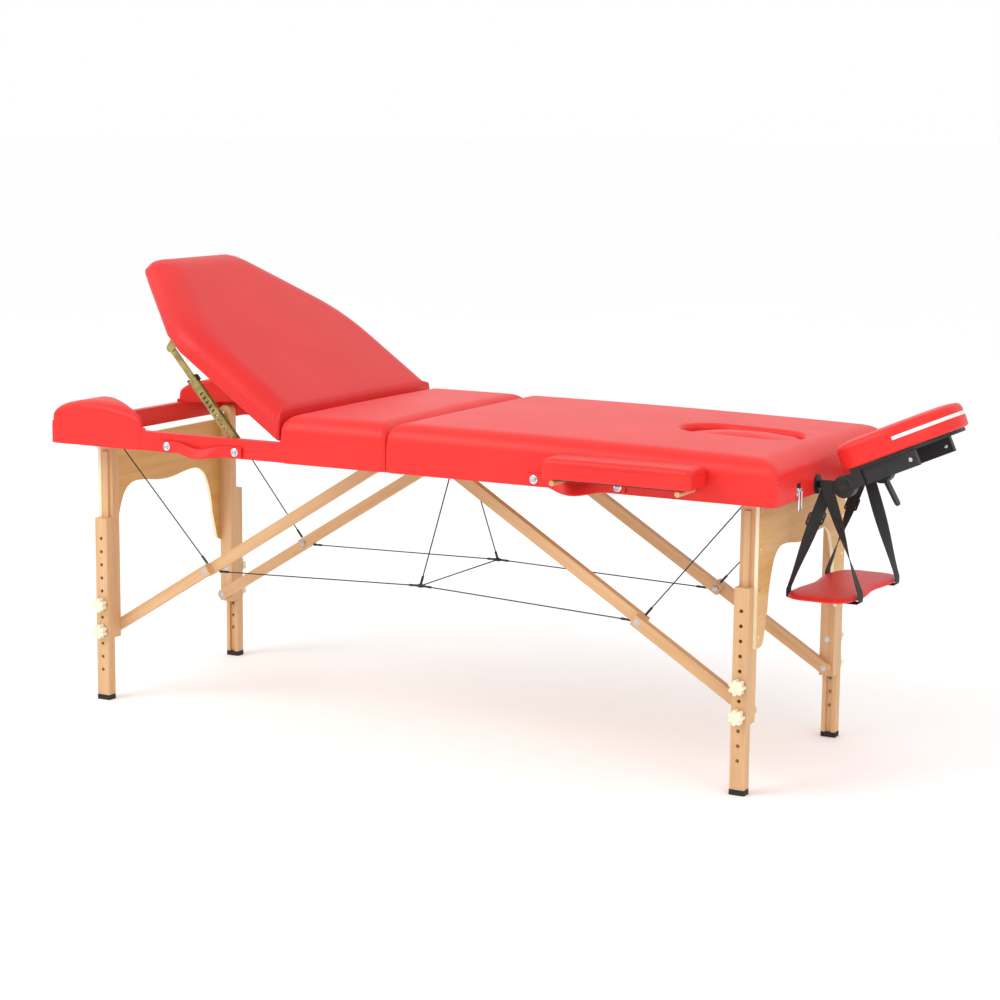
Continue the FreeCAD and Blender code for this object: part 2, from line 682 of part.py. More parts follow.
def right_pad():
    """Long cushion of the right half with the face hole, whose edge is rounded over."""
    stations = slab_pad(HALF_START, HALF_LENGTH, HALF_WIDTH, PAD_THICK, SEAM_ROUND, END_ROUND)
    pad = pad_loft(stations, 0, PAD_BOTTOM)
    rim = PAD_TOP + PAD_CROWN
    flare = Part.makeLoft([
        oval(FACE_HOLE_X, FACE_HOLE[0], FACE_HOLE[1], rim - 2 * FACE_HOLE_FLARE),
        oval(FACE_HOLE_X, FACE_HOLE[0] + 2, FACE_HOLE[1] + 2, rim - FACE_HOLE_FLARE),
        oval(FACE_HOLE_X, FACE_HOLE[0] + 2 * FACE_HOLE_FLARE, FACE_HOLE[1] + 2 * FACE_HOLE_FLARE, rim + 1),
    ], True, False)
    return [pad.cut(face_hole(PAD_BOTTOM, rim, 0)).cut(flare)]


def face_plug():
    """Plug cushion that fills the face hole and rests on the deck's ledge."""
    length, width = (size - 2 * PLUG_GAP for size in FACE_HOLE)
    top = PAD_TOP + PAD_CROWN - PLUG_SINK
    height = top - PAD_BOTTOM
    wires = [oval(FACE_HOLE_X, length - 2 * inset, width - 2 * inset, PAD_BOTTOM + share * height)
             for share, inset in PLUG_PROFILE]
    return [Part.makeLoft(wires, True, False)]


# Backrest, hinges and ratchet struts


def raised(shape):
    """A backrest piece, laid flat, turned up to where the struts hold it."""
    lifted = shape.copy()
    lifted.rotate(Vector(BACKREST_X, 0, BACKREST_Z), Vector(0, 1, 0), BACKREST_ANGLE)
    return lifted


def backrest_board():
    """Deck of the backrest, its shoulders and end corners taken off."""
    z = RAIL_TOP + SOFT_GAP
    half, end_half = HALF_WIDTH - BOARD_INSET, BACKREST_END_WIDTH / 2
    slant = (half - end_half) / (BACKREST_LENGTH - BACKREST_SHOULDER)
    cut = BACKREST_SHOULDER_CUT
    along, across = BACKREST_END_CUT
    corners = [
        (BACKREST_BOARD_START, half), (BACKREST_SHOULDER - cut, half), (BACKREST_SHOULDER + cut, half - slant * cut),
        (BACKREST_LENGTH - along, end_half + slant * along), (BACKREST_LENGTH, end_half - across),
    ]
    far_side = [Vector(BACKREST_X - s, y, z) for s, y in corners]
    near_side = [Vector(p.x, -p.y, p.z) for p in far_side[::-1]]
    return [raised(prism(far_side + near_side, Vector(0, 0, BOARD_THICK)))]


def backrest_half_width(s):
    """Half width of the backrest pad at a distance from its hinge."""
    slant = (s - BACKREST_SHOULDER) / (BACKREST_LENGTH - BACKREST_SHOULDER)
    return HALF_WIDTH - max(0.0, slant) * (HALF_WIDTH - BACKREST_END_WIDTH / 2)


def backrest_pad():
    """Backrest cushion: its hinge end is cut back so that it clears the seat when raised."""
    clear = 1 / math.tan(math.radians(BACKREST_ANGLE))
    start_height = BACKREST_BARREL_R + 2 * SOFT_GAP + BOARD_THICK
    bottom = BOARD_TOP + 2 * SOFT_GAP
    stations = []
    for s in BACKREST_CUT_STEPS:
        stations.append((BACKREST_X - s, HALF_WIDTH - ROUND_INSET, (s - BACKREST_CUT_GAP) * clear - start_height))
    for s, drop in BACKREST_ROUND:
        stations.append((BACKREST_X - s, HALF_WIDTH - ROUND_INSET * min(1.0, drop / BACKREST_ROUND[0][1]) / 2,
                         PAD_THICK - drop))
    for s in BACKREST_STEPS:
        stations.append((BACKREST_X - s, backrest_half_width(s), PAD_THICK))
    for turn in END_TURNS[-2::-1]:
        lift = math.sin(math.radians(turn))
        s = BACKREST_LENGTH - END_ROUND[0] * (1 - math.cos(math.radians(turn)))
        half = backrest_half_width(s) - ROUND_INSET * (1 - lift)
        stations.append((BACKREST_X - s, half, PAD_THICK - END_ROUND[1] * (1 - lift)))
    return [raised(pad_loft(stations, 0, bottom))]


def backrest_fittings():
    """Backrest side of its two hinges, and the plates that the strut bars hang on."""
    reach, thick = BACKREST_LEAF
    third = BACKREST_HINGE_LENGTH / 3
    y_span = (BACKREST_HINGE_Y - third / 2 + KNUCKLE_GAP, BACKREST_HINGE_Y + third / 2 - KNUCKLE_GAP)
    barrel = cross_rod(BACKREST_X, BACKREST_Z, y_span, BACKREST_BARREL_R)
    leaf_top = RAIL_TOP + SOFT_GAP
    leaf = block((BACKREST_X - reach, BACKREST_X), y_span, (leaf_top - thick, leaf_top))
    bore = cross_rod(BACKREST_X, BACKREST_Z, y_span, BACKREST_PIN_R + RUNNING_GAP)
    hinge = fused([barrel, leaf]).cut(bore)
    plate_thick, plate_r = STRUT_PLATE
    x, z = BACKREST_X - STRUT_HEAD_S, BACKREST_Z - STRUT_HEAD_DROP
    plate_in = strut_bar_span()[1] + STRUT_PLATE_GAP
    span = (plate_in, plate_in + plate_thick)
    plate = fused([cross_rod(x, z, span, plate_r),
                   block((x - plate_r, x + plate_r), span, (z, leaf_top))])
    return [raised(part) for part in both(hinge) + both(plate)]


def seat_knuckles():
    """Seat side of the far backrest hinge: two knuckles on a leaf, with the pin fixed in them."""
    reach, thick = BACKREST_LEAF
    third = BACKREST_HINGE_LENGTH / 3
    low, high = BACKREST_HINGE_Y - BACKREST_HINGE_LENGTH / 2, BACKREST_HINGE_Y + BACKREST_HINGE_LENGTH / 2
    spans = [(low, BACKREST_HINGE_Y - third / 2), (BACKREST_HINGE_Y + third / 2, high)]
    parts = [cross_rod(BACKREST_X, BACKREST_Z, span, BACKREST_BARREL_R) for span in spans]
    parts += [block((BACKREST_X, BACKREST_X + reach), span, (RAIL_TOP - thick, RAIL_TOP)) for span in spans]
    parts.append(block((BACKREST_X + BACKREST_BARREL_R + KNUCKLE_GAP, BACKREST_X + reach), (low, high),
                       (RAIL_TOP - thick, RAIL_TOP)))
    parts.append(cross_rod(BACKREST_X, BACKREST_Z, (low, high), BACKREST_PIN_R))
    return fused(parts)


def strut_bar_span():
    """Limits in Y of the far strut's inner bar."""
    mid = (STRUT_IN + STRUT_OUT - STRUT_WALL) / 2
    return mid - STRUT_BAR[1] / 2, mid + STRUT_BAR[1] / 2


def on_strut(shape):
    """Place a far strut piece, laid along -X from its foot, at the strut's slope."""
    turned = shape.copy()
    turned.rotate(Vector(0, 0, 0), Vector(0, 1, 0), STRUT_SLOPE)
    turned.translate(Vector(STRUT_FOOT[0], 0, STRUT_FOOT[1]))
    return both(turned)


def strut_channels():
    """Slotted channels of the ratchet struts."""
    half = STRUT_WIDTH / 2
    shell = block((-STRUT_LENGTH, STRUT_TAIL), (STRUT_IN, STRUT_OUT), (-half, half))
    hollow = block((-STRUT_LENGTH, STRUT_TAIL), (STRUT_IN, STRUT_OUT - STRUT_WALL),
                   (STRUT_WALL - half, half - STRUT_WALL))
    channel = shell.cut(hollow)
    width, height, pitch, start = STRUT_SLOT
    for index in range(STRUT_SLOTS):
        x = -start - index * pitch
        channel = channel.cut(block((x - width / 2, x + width / 2), (STRUT_OUT - STRUT_WALL, STRUT_OUT),
                                    (-height / 2, height / 2)))
    channel = channel.cut(cross_rod(0, 0, (STRUT_IN, STRUT_OUT), STRUT_STUD_R + RUNNING_GAP))
    return on_strut(channel)


def strut_collars():
    """Plastic collars on the mouths of the channels."""
    length, wall, back = STRUT_COLLAR
    half = STRUT_WIDTH / 2
    x_span = (-STRUT_LENGTH - back, -STRUT_LENGTH - back + length)
    collar = block(x_span, (STRUT_IN - wall, STRUT_OUT), (-half - wall, half + wall))
    mouth = block((x_span[0], x_span[0] + back), (STRUT_IN, STRUT_OUT), (STRUT_WALL - half, half - STRUT_WALL))
    seat = block((-STRUT_LENGTH, x_span[1]), (STRUT_IN, STRUT_OUT), (-half, half))
    return on_strut(collar.cut(mouth).cut(seat))


def strut_bars():
    """Inner bars that slide in the channels and end in a round eye."""
    width, _, length = STRUT_BAR
    span = strut_bar_span()
    bar = block((-STRUT_REACH, length - STRUT_REACH), span, (-width / 2, width / 2))
    eye = cross_rod(-STRUT_REACH, 0, span, width / 2)
    return on_strut(fused([bar, eye]))


# Legs, end panels and braces


def upper_legs(side):
    """Upper legs of one end, with the tongue that the lower legs slide on."""
    x_span = (LEG_X - LEG_HALF, LEG_X + LEG_HALF)
    bottom = LOWER_BOLT_Z - UPPER_LEG_TAIL
    post = block(x_span, (UPPER_LEG_Y, UPPER_LEG_OUT), (bottom, LEG_PIVOT_Z))
    crown = cross_rod(LEG_X, LEG_PIVOT_Z, (UPPER_LEG_Y, UPPER_LEG_OUT), LEG_HALF)
    tongue = block((LEG_X - TONGUE_WIDTH / 2, LEG_X + TONGUE_WIDTH / 2),
                   (UPPER_LEG_OUT, UPPER_LEG_OUT + TONGUE_HEIGHT), (bottom, LEG_PIVOT_Z - TONGUE_START))
    leg = fused([post, crown, tongue])
    y_span = (UPPER_LEG_Y, UPPER_LEG_OUT + TONGUE_HEIGHT)
    leg = leg.cut(cross_rod(LEG_X, LEG_PIVOT_Z, y_span, PIVOT_BOLT_R + RUNNING_GAP))
    for z in (UPPER_BOLT_Z, LOWER_BOLT_Z):
        leg = leg.cut(cross_rod(LEG_X, z, y_span, LEG_HOLE_R))
    head_r, head_depth = LEG_BOLT_HEAD
    recess = cross_rod(LEG_X, UPPER_BOLT_Z, (UPPER_LEG_Y, UPPER_LEG_Y + head_depth + HEAD_GAP), head_r + HEAD_GAP)
    return [at_end(part, side) for part in both(leg.cut(recess))]


def lower_leg(side, y_side):
    """Lower leg of one corner: grooved on its inner face, with a row of height holes."""
    leg = block((LEG_X - LEG_HALF, LEG_X + LEG_HALF), (LOWER_LEG_IN, LOWER_LEG_OUT), (FOOT_HEIGHT, LOWER_LEG_TOP))
    half_groove = TONGUE_WIDTH / 2 + SLIDING_GAP
    leg = leg.cut(block((LEG_X - half_groove, LEG_X + half_groove),
                        (LOWER_LEG_IN, UPPER_LEG_OUT + TONGUE_HEIGHT + SLIDING_GAP), (FOOT_HEIGHT, LOWER_LEG_TOP)))
    for index in range(HOLE_COUNT):
        z = TOP_HOLE_Z - index * HOLE_PITCH
        leg = leg.cut(cross_rod(LEG_X, z, (LOWER_LEG_IN, LOWER_LEG_OUT), LEG_HOLE_R))
    return [at_end(leg if y_side > 0 else far(leg), side)]


def foot(side, y_side):
    """Rubber foot under one lower leg."""
    grow = FOOT_OVERHANG
    shoe = block((LEG_X - LEG_HALF - grow, LEG_X + LEG_HALF + grow), (LOWER_LEG_IN, LOWER_LEG_OUT + grow),
                 (0, FOOT_HEIGHT))
    upright = [edge for edge in shoe.Edges if abs(edge.Vertexes[0].Z - edge.Vertexes[1].Z) > FOOT_HEIGHT / 2]
    shoe = shoe.makeFillet(2 * grow, upright)
    return [at_end(shoe if y_side > 0 else far(shoe), side)]


def knob(z):
    """Far lobed knob on the outside of a lower leg."""
    collar_r, collar_height = KNOB_COLLAR
    start = LOWER_LEG_OUT + SLIDING_GAP
    rim = (start + collar_height, start + collar_height + KNOB_HEIGHT)
    parts = [cross_rod(LEG_X, z, (start, start + collar_height), collar_r), cross_rod(LEG_X, z, rim, KNOB_R)]
    for index in range(KNOB_LOBES):
        turn = 2 * math.pi * index / KNOB_LOBES
        parts.append(cross_rod(LEG_X + KNOB_R * math.cos(turn), z + KNOB_R * math.sin(turn), rim, KNOB_LOBE_R))
    bolt_end = start + collar_height + KNOB_HEIGHT / 2
    return fused(parts).cut(cross_rod(LEG_X, z, (start, bolt_end), LEG_BOLT_R))


def knob_bolt(z, inner):
    """Far bolt of a knob, with a flush head at its inner end."""
    head_r, head_depth = LEG_BOLT_HEAD
    end = LOWER_LEG_OUT + SLIDING_GAP + KNOB_COLLAR[1] + KNOB_HEIGHT / 2
    return fused([cross_rod(LEG_X, z, (inner, end), LEG_BOLT_R),
                  cross_rod(LEG_X, z, (inner, inner + head_depth), head_r)])


def knobs(side, y_side):
    """Two knobs of one leg, which screw off outwards."""
    return [at_end(part if y_side > 0 else far(part), side) for part in (knob(UPPER_BOLT_Z), knob(LOWER_BOLT_Z))]


def leg_bolts(side):
    """Knob bolts of one end: the lower ones also carry the lower braces."""
    parts = both(knob_bolt(UPPER_BOLT_Z, UPPER_LEG_Y)) + both(knob_bolt(LOWER_BOLT_Z, LOWER_BRACE_IN))
    return [at_end(part, side) for part in parts]


def end_panel(side):
    """End panel with a double-arched lower edge, on the outer faces of the upper legs."""
    x = LEG_X + LEG_HALF
    top = FRAME_HEIGHT - PANEL_TOP_DROP
    outer = UPPER_LEG_OUT

    def at(y, z):
        return Vector(x, y, z)

    bow_z, arch_z, shoulder_z, lobe_z, tip_z = (
        FRAME_HEIGHT - drop
        for drop in (PANEL_BOW_DROP, PANEL_ARCH_DROP, PANEL_SHOULDER_DROP, PANEL_LOBE_DROP, PANEL_TIP_DROP))
    arch_y, shoulder_y, lobe_y = (
        outer - inset for inset in (PANEL_ARCH_INSET, PANEL_SHOULDER_INSET, PANEL_LOBE_INSET))
    arch_mid = (arch_y / 2, (bow_z + arch_z) / 2)
    tip_y = outer - PANEL_TIP_R
    tip_lean = PANEL_TIP_R * (1 - math.sqrt(0.5))

    def lower_edge(sign):
        """Edges from the middle of the bow to the outer side, on one half."""
        def on(y, z):
            return at(sign * y, z)
        bow_rise = (arch_z - bow_z) / 8
        bend = (arch_y + 0.62 * (shoulder_y - arch_y), arch_z - 0.3 * (arch_z - shoulder_z))
        swell = ((shoulder_y + lobe_y) / 2 + PANEL_LOBE_SWELL, (shoulder_z + lobe_z) / 2)
        tip_in = tip_y - PANEL_TIP_R
        return [
            arc(on(0, bow_z), on(arch_mid[0] / 2, bow_z + bow_rise), on(*arch_mid)),
            arc(on(*arch_mid), on(arch_mid[0] * 1.5, arch_z - bow_rise), on(arch_y, arch_z)),
            arc(on(arch_y, arch_z), on(*bend), on(shoulder_y, shoulder_z)),
            arc(on(shoulder_y, shoulder_z), on(*swell), on(lobe_y, lobe_z)),
            line(on(lobe_y, lobe_z), on(tip_in, tip_z + PANEL_TIP_R)),
            arc(on(tip_in, tip_z + PANEL_TIP_R), on(tip_in + tip_lean, tip_z + tip_lean), on(tip_y, tip_z)),
            line(on(tip_y, tip_z), on(outer, tip_z)),
            line(on(outer, tip_z), on(outer, top)),
        ]

    edges = lower_edge(1) + [line(at(outer, top), at(-outer, top))] + lower_edge(-1)
    wire = Part.Wire(Part.__sortEdges__(edges))
    return [at_end(Part.Face(wire).extrude(Vector(PANEL_THICK, 0, 0)), side)]


def brace_bar(length, tail, y_span):
    """Brace laid along +X from a round pivot end, cut square a tail past its knee."""
    half = BRACE_WIDTH / 2
    middle = sum(y_span) / 2
    y_limits = (middle - BRACE_THICK / 2, middle + BRACE_THICK / 2)
    return fused([block((0, length + tail), y_limits, (-half, half)), cross_rod(0, 0, y_limits, half)])


def upper_braces(side):
    """Upper braces of one end, from the centre rail down to the knees."""
    y_span = (UPPER_BRACE_IN, UPPER_BRACE_OUT)
    bar = brace_bar(UPPER_BRACE_LENGTH, UPPER_BRACE_TAIL, y_span)
    bar = bar.cut(cross_rod(0, 0, y_span, PIVOT_BOLT_R + RUNNING_GAP))
    bar = bar.cut(cross_rod(UPPER_BRACE_LENGTH, 0, y_span, PIVOT_BOLT_R))
    placed = slope_to(bar, Vector(BRACE_PIVOT_X, 0, BRACE_PIVOT_Z), -BRACE_ANGLE)
    return [at_end(part, side) for part in both(placed)]


def lower_braces(side):
    """Lower braces of one end, from the lower leg bolts up to the knees."""
    y_span = (LOWER_BRACE_IN, LOWER_BRACE_OUT)
    head_r, head_depth = LEG_BOLT_HEAD
    bar = brace_bar(LOWER_BRACE_LENGTH, LOWER_BRACE_TAIL, y_span)
    bar = bar.cut(cross_rod(0, 0, y_span, LEG_BOLT_R + RUNNING_GAP))
    bar = bar.cut(cross_rod(0, 0, (LOWER_BRACE_IN, LOWER_BRACE_IN + head_depth + HEAD_GAP), head_r + HEAD_GAP))
    bar = bar.cut(knee_bolt(LOWER_BRACE_LENGTH))
    placed = slope_to(bar, Vector(LEG_X, 0, LOWER_BOLT_Z), 180 - BRACE_ANGLE)
    return [at_end(part, side) for part in both(placed)]


def knee_bolt(x):
    """Far knee bolt in the lower brace, laid along Y, with its head sunk in the outer face."""
    head_r, head_depth = PIVOT_HEAD
    return fused([cross_rod(x, 0, (LOWER_BRACE_IN, LOWER_BRACE_OUT), PIVOT_BOLT_R),
                  cross_rod(x, 0, (LOWER_BRACE_OUT - head_depth, LOWER_BRACE_OUT), head_r)])


def knee_bolts(side):
    """Knee bolts of one end."""
    placed = slope_to(knee_bolt(LOWER_BRACE_LENGTH), Vector(LEG_X, 0, LOWER_BOLT_Z), 180 - BRACE_ANGLE)
    return [at_end(part, side) for part in both(placed)]


# Cables


def cable(start, end):
    """Taut cable between two points with a crimp sleeve at each end."""
    way = (end - start).normalize()
    step = way * SLEEVE_LENGTH
    return fused([rod(start, end, CABLE_R), rod(start, start + step, SLEEVE_R), rod(end - step, end, SLEEVE_R)])


def knee_cables(side):
    """Cables of one end: leg pivot to knee, and knee to the clip below the centre, on both sides."""
    y = CABLE_Y
    normal = Vector(-BRACE_DIR[1], 0, BRACE_DIR[0])
    along = Vector(BRACE_DIR[0], 0, BRACE_DIR[1])
    knee = Vector(KNEE[0], y, KNEE[1])
    edge = BRACE_WIDTH / 2 + SLEEVE_R + CABLE_GAP
    stub_y = UPPER_LEG_Y - LEG_BOLT_REACH / 2
    pivot = Vector(LEG_X, stub_y, LEG_PIVOT_Z - PIVOT_BOLT_R - SLEEVE_R - CABLE_GAP)
    clip = Vector(CABLE_CLIP_R + CABLE_GAP, CABLE_MID[0], CABLE_MID[1])
    stay = cable(pivot, knee + normal * edge)
    run = cable(knee - along * CABLE_KNEE_STEP - normal * edge, clip)
    return [at_end(part, side) for part in both(stay) + both(run)]


def centre_cables():
    """Two drops from the middle hinge pin to their clips, joined by a cross cable."""
    y, z = CABLE_MID
    clip_span = (-CABLE_CLIP_R, CABLE_CLIP_R)
    clip = rod(Vector(clip_span[0], y, z), Vector(clip_span[1], y, z), CABLE_CLIP_R)
    top = Vector(0, CABLE_DROP_Y, HINGE_Z - SLEEVE_R - CABLE_GAP)
    drop = cable(top, Vector(0, y, z))
    cross = rod(Vector(0, -y, z), Vector(0, y, z), CABLE_R)
    return [fused([clip, drop, cross, far(clip), far(drop)])]


# Face cradle and arm sling


def cradle_sockets():
    """Flanged tubes in the right end rail that hold the cradle's posts."""
    sockets = []
    for y in (-POST_Y, POST_Y):
        start = Vector(HALF_LENGTH - POST_DEPTH, y, POST_Z)
        mouth = Vector(HALF_LENGTH + FLANGE[1], y, POST_Z)
        flange = rod(Vector(HALF_LENGTH, y, POST_Z), mouth, FLANGE[0])
        tube = fused([rod(start, mouth, SOCKET_R), flange])
        sockets.append(tube.cut(rod(start, mouth, POST_R + RUNNING_GAP)))
    return sockets


def cradle_posts():
    """Posts of the cradle, each ending in the inner drum of its hub."""
    posts = []
    for y in (-POST_Y, POST_Y):
        post = rod(Vector(HALF_LENGTH - POST_DEPTH, y, POST_Z), Vector(HUB_X, y, POST_Z), POST_R)
        inner = HUB_DEPTH / 2 - HUB_CHEEK - SLIDING_GAP
        drum = cross_rod(HUB_X, POST_Z, (y - inner, y + inner), HUB_R)
        bore = cross_rod(HUB_X, POST_Z, (y - HUB_DEPTH, y + HUB_DEPTH), PIVOT_BOLT_R + RUNNING_GAP)
        posts.append(fused([post, drum]).cut(bore))
    return posts


def tilted(shape):
    """A cradle piece, laid along +X from the hub's axis, at the cradle's tilt."""
    return slope_to(shape, Vector(HUB_X, 0, POST_Z), CRADLE_TILT)


def horseshoe(half, start, n0, n1):
    """Flat horseshoe plate, open towards the table, between two heights."""
    mid = CUSHION_MID_Y
    centre = CUSHION_START + CUSHION_LENGTH - CUSHION_MID_Y - CUSHION_HALF
    outer, inner = mid + half, mid - half
    ro, ri = outer * math.sqrt(0.5), inner * math.sqrt(0.5)

    def at(s, y):
        return Vector(s, y, n0)

    edges = [
        line(at(start, -outer), at(centre, -outer)),
        arc(at(centre, -outer), at(centre + ro, -ro), at(centre + outer, 0)),
        arc(at(centre + outer, 0), at(centre + ro, ro), at(centre, outer)),
        line(at(centre, outer), at(start, outer)),
        line(at(start, outer), at(start, inner)),
        line(at(start, inner), at(centre, inner)),
        arc(at(centre, inner), at(centre + ri, ri), at(centre + inner, 0)),
        arc(at(centre + inner, 0), at(centre + ri, -ri), at(centre, -inner)),
        line(at(centre, -inner), at(start, -inner)),
        line(at(start, -inner), at(start, -outer)),
    ]
    return Part.Face(Part.Wire(edges)).extrude(Vector(0, 0, n1 - n0))


def cradle_frame():
    """Hub cheeks, arms, crossbar and platform of the cradle."""
    width, low, length = CRADLE_ARM
    arms = []
    for y in (-POST_Y, POST_Y):
        arm = block((HUB_R + SLIDING_GAP, length), (y - width / 2, y + width / 2), (low, PLATFORM_N))
        cheeks = []
        for face in (-1, 1):
            outer = y + face * HUB_DEPTH / 2
            span = (outer, outer - face * HUB_CHEEK)
            cheeks.append(cross_rod(0, 0, span, HUB_R))
            cheeks.append(block((0, 2 * HUB_R), span, (low, PLATFORM_N)))
        web = block((HUB_R + SLIDING_GAP, 2 * HUB_R), (y - HUB_DEPTH / 2, y + HUB_DEPTH / 2), (low, PLATFORM_N))
        axle = cross_rod(0, 0, (y - HUB_DEPTH / 2, y + HUB_DEPTH / 2), PIVOT_BOLT_R)
        arms.append(fused([arm, web, axle] + cheeks))
    s0, s1, n0, n1 = CROSSBAR
    crossbar = block((s0, s1), (HUB_DEPTH / 2 - POST_Y, POST_Y - HUB_DEPTH / 2), (n0, n1))
    start = CUSHION_START + CUSHION_HALF / 2
    platform = horseshoe(PLATFORM_HALF, start, PLATFORM_N, PLATFORM_N + PLATFORM_THICK)
    return [tilted(part) for part in arms + [crossbar, platform]]


def cushion_section(sign):
    """Section of one limb of the face cushion across its length, with a crowned top."""
    start = CUSHION_START + CUSHION_HALF
    half, corner = CUSHION_HALF, CUSHION_CORNER
    bottom, top = CUSHION_N, CUSHION_N + CUSHION_THICK - CUSHION_CROWN
    lean = corner * (1 - math.sqrt(0.5))

    def at(y, n):
        return Vector(start, sign * CUSHION_MID_Y + y, n)

    return Part.Wire([
        line(at(-half, bottom), at(half, bottom)),
        arc(at(half, bottom), at(half + PAD_BULGE, (bottom + top - corner) / 2), at(half, top - corner)),
        arc(at(half, top - corner), at(half - lean, top - lean), at(half - corner, top)),
        arc(at(half - corner, top), at(0, top + CUSHION_CROWN), at(corner - half, top)),
        arc(at(corner - half, top), at(lean - half, top - lean), at(-half, top - corner)),
        arc(at(-half, top - corner), at(-half - PAD_BULGE, (bottom + top - corner) / 2), at(-half, bottom)),
    ])


def face_cushion():
    """Horseshoe face cushion: two straight limbs, a round head and round tips."""
    start = CUSHION_START + CUSHION_HALF
    centre = CUSHION_START + CUSHION_LENGTH - CUSHION_MID_Y - CUSHION_HALF
    run = Vector(centre - start, 0, 0)
    parts = []
    for sign in (-1, 1):
        face = Part.Face(cushion_section(sign))
        parts.append(face.extrude(run))
        knife = block((start - CUSHION_HALF, start + CUSHION_HALF),
                      (sign * CUSHION_MID_Y, sign * CUSHION_MID_Y + 2 * CUSHION_HALF),
                      (CUSHION_N - CUSHION_HALF, CUSHION_N + 2 * CUSHION_THICK))
        half_face = face.common(knife)
        axis_at = Vector(start, sign * CUSHION_MID_Y, 0)
        parts.append(half_face.revolve(axis_at, Vector(0, 0, 1), 180))
    head = Part.Face(cushion_section(-1))
    head.translate(run)
    parts.append(head.revolve(Vector(centre, 0, 0), Vector(0, 0, 1), 180))
    return [tilted(fused(parts))]


def cradle_lever():
    """Cam lever under the crossbar that clamps the cradle's tilt."""
    s, n = LEVER_PIVOT
    y_span = (-LEVER_WIDTH / 2, LEVER_WIDTH / 2)
    cam = cross_rod(s, n, y_span, LEVER_R)
    paddle = block((0, LEVER_LENGTH), y_span, (-LEVER_THICK / 2, LEVER_THICK / 2))
    rounded = [edge for edge in paddle.Edges
               if abs(edge.Vertexes[0].X - LEVER_LENGTH) < 1 and abs(edge.Vertexes[0].Z - edge.Vertexes[1].Z) > 1]
    paddle = paddle.makeFillet(LEVER_WIDTH / 2 - 1, rounded)
    paddle = slope_to(paddle, Vector(s, 0, n), -LEVER_ANGLE - CRADLE_TILT)
    return [tilted(fused([cam, paddle]))]


def sling_shelf():
    """Padded arm shelf with rounded ends and a drawn-in waist, hung level below the posts."""
    sections = []
    for share, half, height in ((-1.0, 0.5, 0.45), (-0.9, 0.82, 0.85), (-0.65, 1.0, 1.0), (0.0, None, 1.0),
                                (0.65, 1.0, 1.0), (0.9, 0.82, 0.85), (1.0, 0.5, 0.45)):
        width = SHELF_WAIST if half is None else SHELF_HALF * half
        thick = SHELF_THICK * height
        base = SHELF_Z + (SHELF_THICK - thick) / 2
        y = share * SHELF_REACH

        def at(dx, dz, y=y, base=base):
            return Vector(STRAP_X + dx, y, base + dz)

        edge = thick * 0.4
        sections.append(Part.Wire([
            arc(at(-width, edge), at(0, 0), at(width, edge)),
            line(at(width, edge), at(width, thick - edge)),
            arc(at(width, thick - edge), at(0, thick), at(-width, thick - edge)),
            line(at(-width, thick - edge), at(-width, edge)),
        ]))
    return [Part.makeLoft(sections, True, False)]


def strap_leg(x, y, out):
    """One leg of a webbing loop: wide along X at its post, wide along Y at the shelf's edge."""
    top_y = y + out * (POST_R + SOFT_GAP + STRAP_THICK / 2)
    low = SHELF_Z - STRAP_GAP - STRAP_THICK / 2
    sections = []
    for share in (0.0, 0.35, 0.7, 1.0):
        turn = math.radians(90 * share)
        wide = Vector(math.cos(turn), out * math.sin(turn), 0) * (STRAP_WIDTH / 2)
        thin = Vector(-out * math.sin(turn), math.cos(turn), 0) * (STRAP_THICK / 2)
        mid = Vector(STRAP_X + (x - STRAP_X) * share, top_y + (y - top_y) * share, POST_Z + (low - POST_Z) * share)
        sections.append(Part.makePolygon([mid + wide + thin, mid - wide + thin, mid - wide - thin,
                                          mid + wide - thin, mid + wide + thin]))
    return Part.makeLoft(sections, True, True)


def sling_straps():
    """Webbing loops of the sling: over a post, down to both edges of the shelf and under it."""
    straps = []
    inner = POST_R + SOFT_GAP
    edge = SHELF_HALF + STRAP_SPREAD
    low = SHELF_Z - STRAP_GAP - STRAP_THICK
    half_strap = STRAP_WIDTH / 2
    for y in (-POST_Y, POST_Y):
        start = Vector(STRAP_X - half_strap, y, POST_Z)
        end = Vector(STRAP_X + half_strap, y, POST_Z)
        ring = rod(start, end, inner + STRAP_THICK).cut(rod(start, end, inner))
        above = block((start.x, end.x), (y - 2 * inner, y + 2 * inner), (POST_Z, POST_Z + 2 * inner))
        under = block((STRAP_X - edge, STRAP_X + edge), (y - half_strap, y + half_strap), (low, low + STRAP_THICK))
        front = -1 if y < 0 else 1
        parts = [ring.common(above), strap_leg(STRAP_X + edge, y, front), strap_leg(STRAP_X - edge, y, -front), under]
        straps.append(fused(parts))
    return straps


# Side armrests


def armrest_pad(y_side):
    """Cushion of one side armrest."""
    x0, x1 = ARMREST_X
    half = ARMREST_DEPTH / 2
    stations = slab_pad(x0, x1, half, ARMREST_THICK, SEAM_ROUND, SEAM_ROUND)
    return [pad_loft(stations, y_side * (ARMREST_IN + half), ARMREST_BOTTOM, PAD_CROWN / 2)]


def armrest_board(y_side):
    """Board under one armrest's cushion, grooved for its dowels."""
    thick, inset = ARMREST_BOARD
    top = ARMREST_BOTTOM - SOFT_GAP
    board = block((ARMREST_X[0] + inset, ARMREST_X[1] - inset), (ARMREST_IN + inset, ARMREST_OUT - inset),
                  (top - thick, top))
    for dowel in armrest_dowels(1):
        board = board.cut(dowel)
    return [board if y_side > 0 else far(board)]


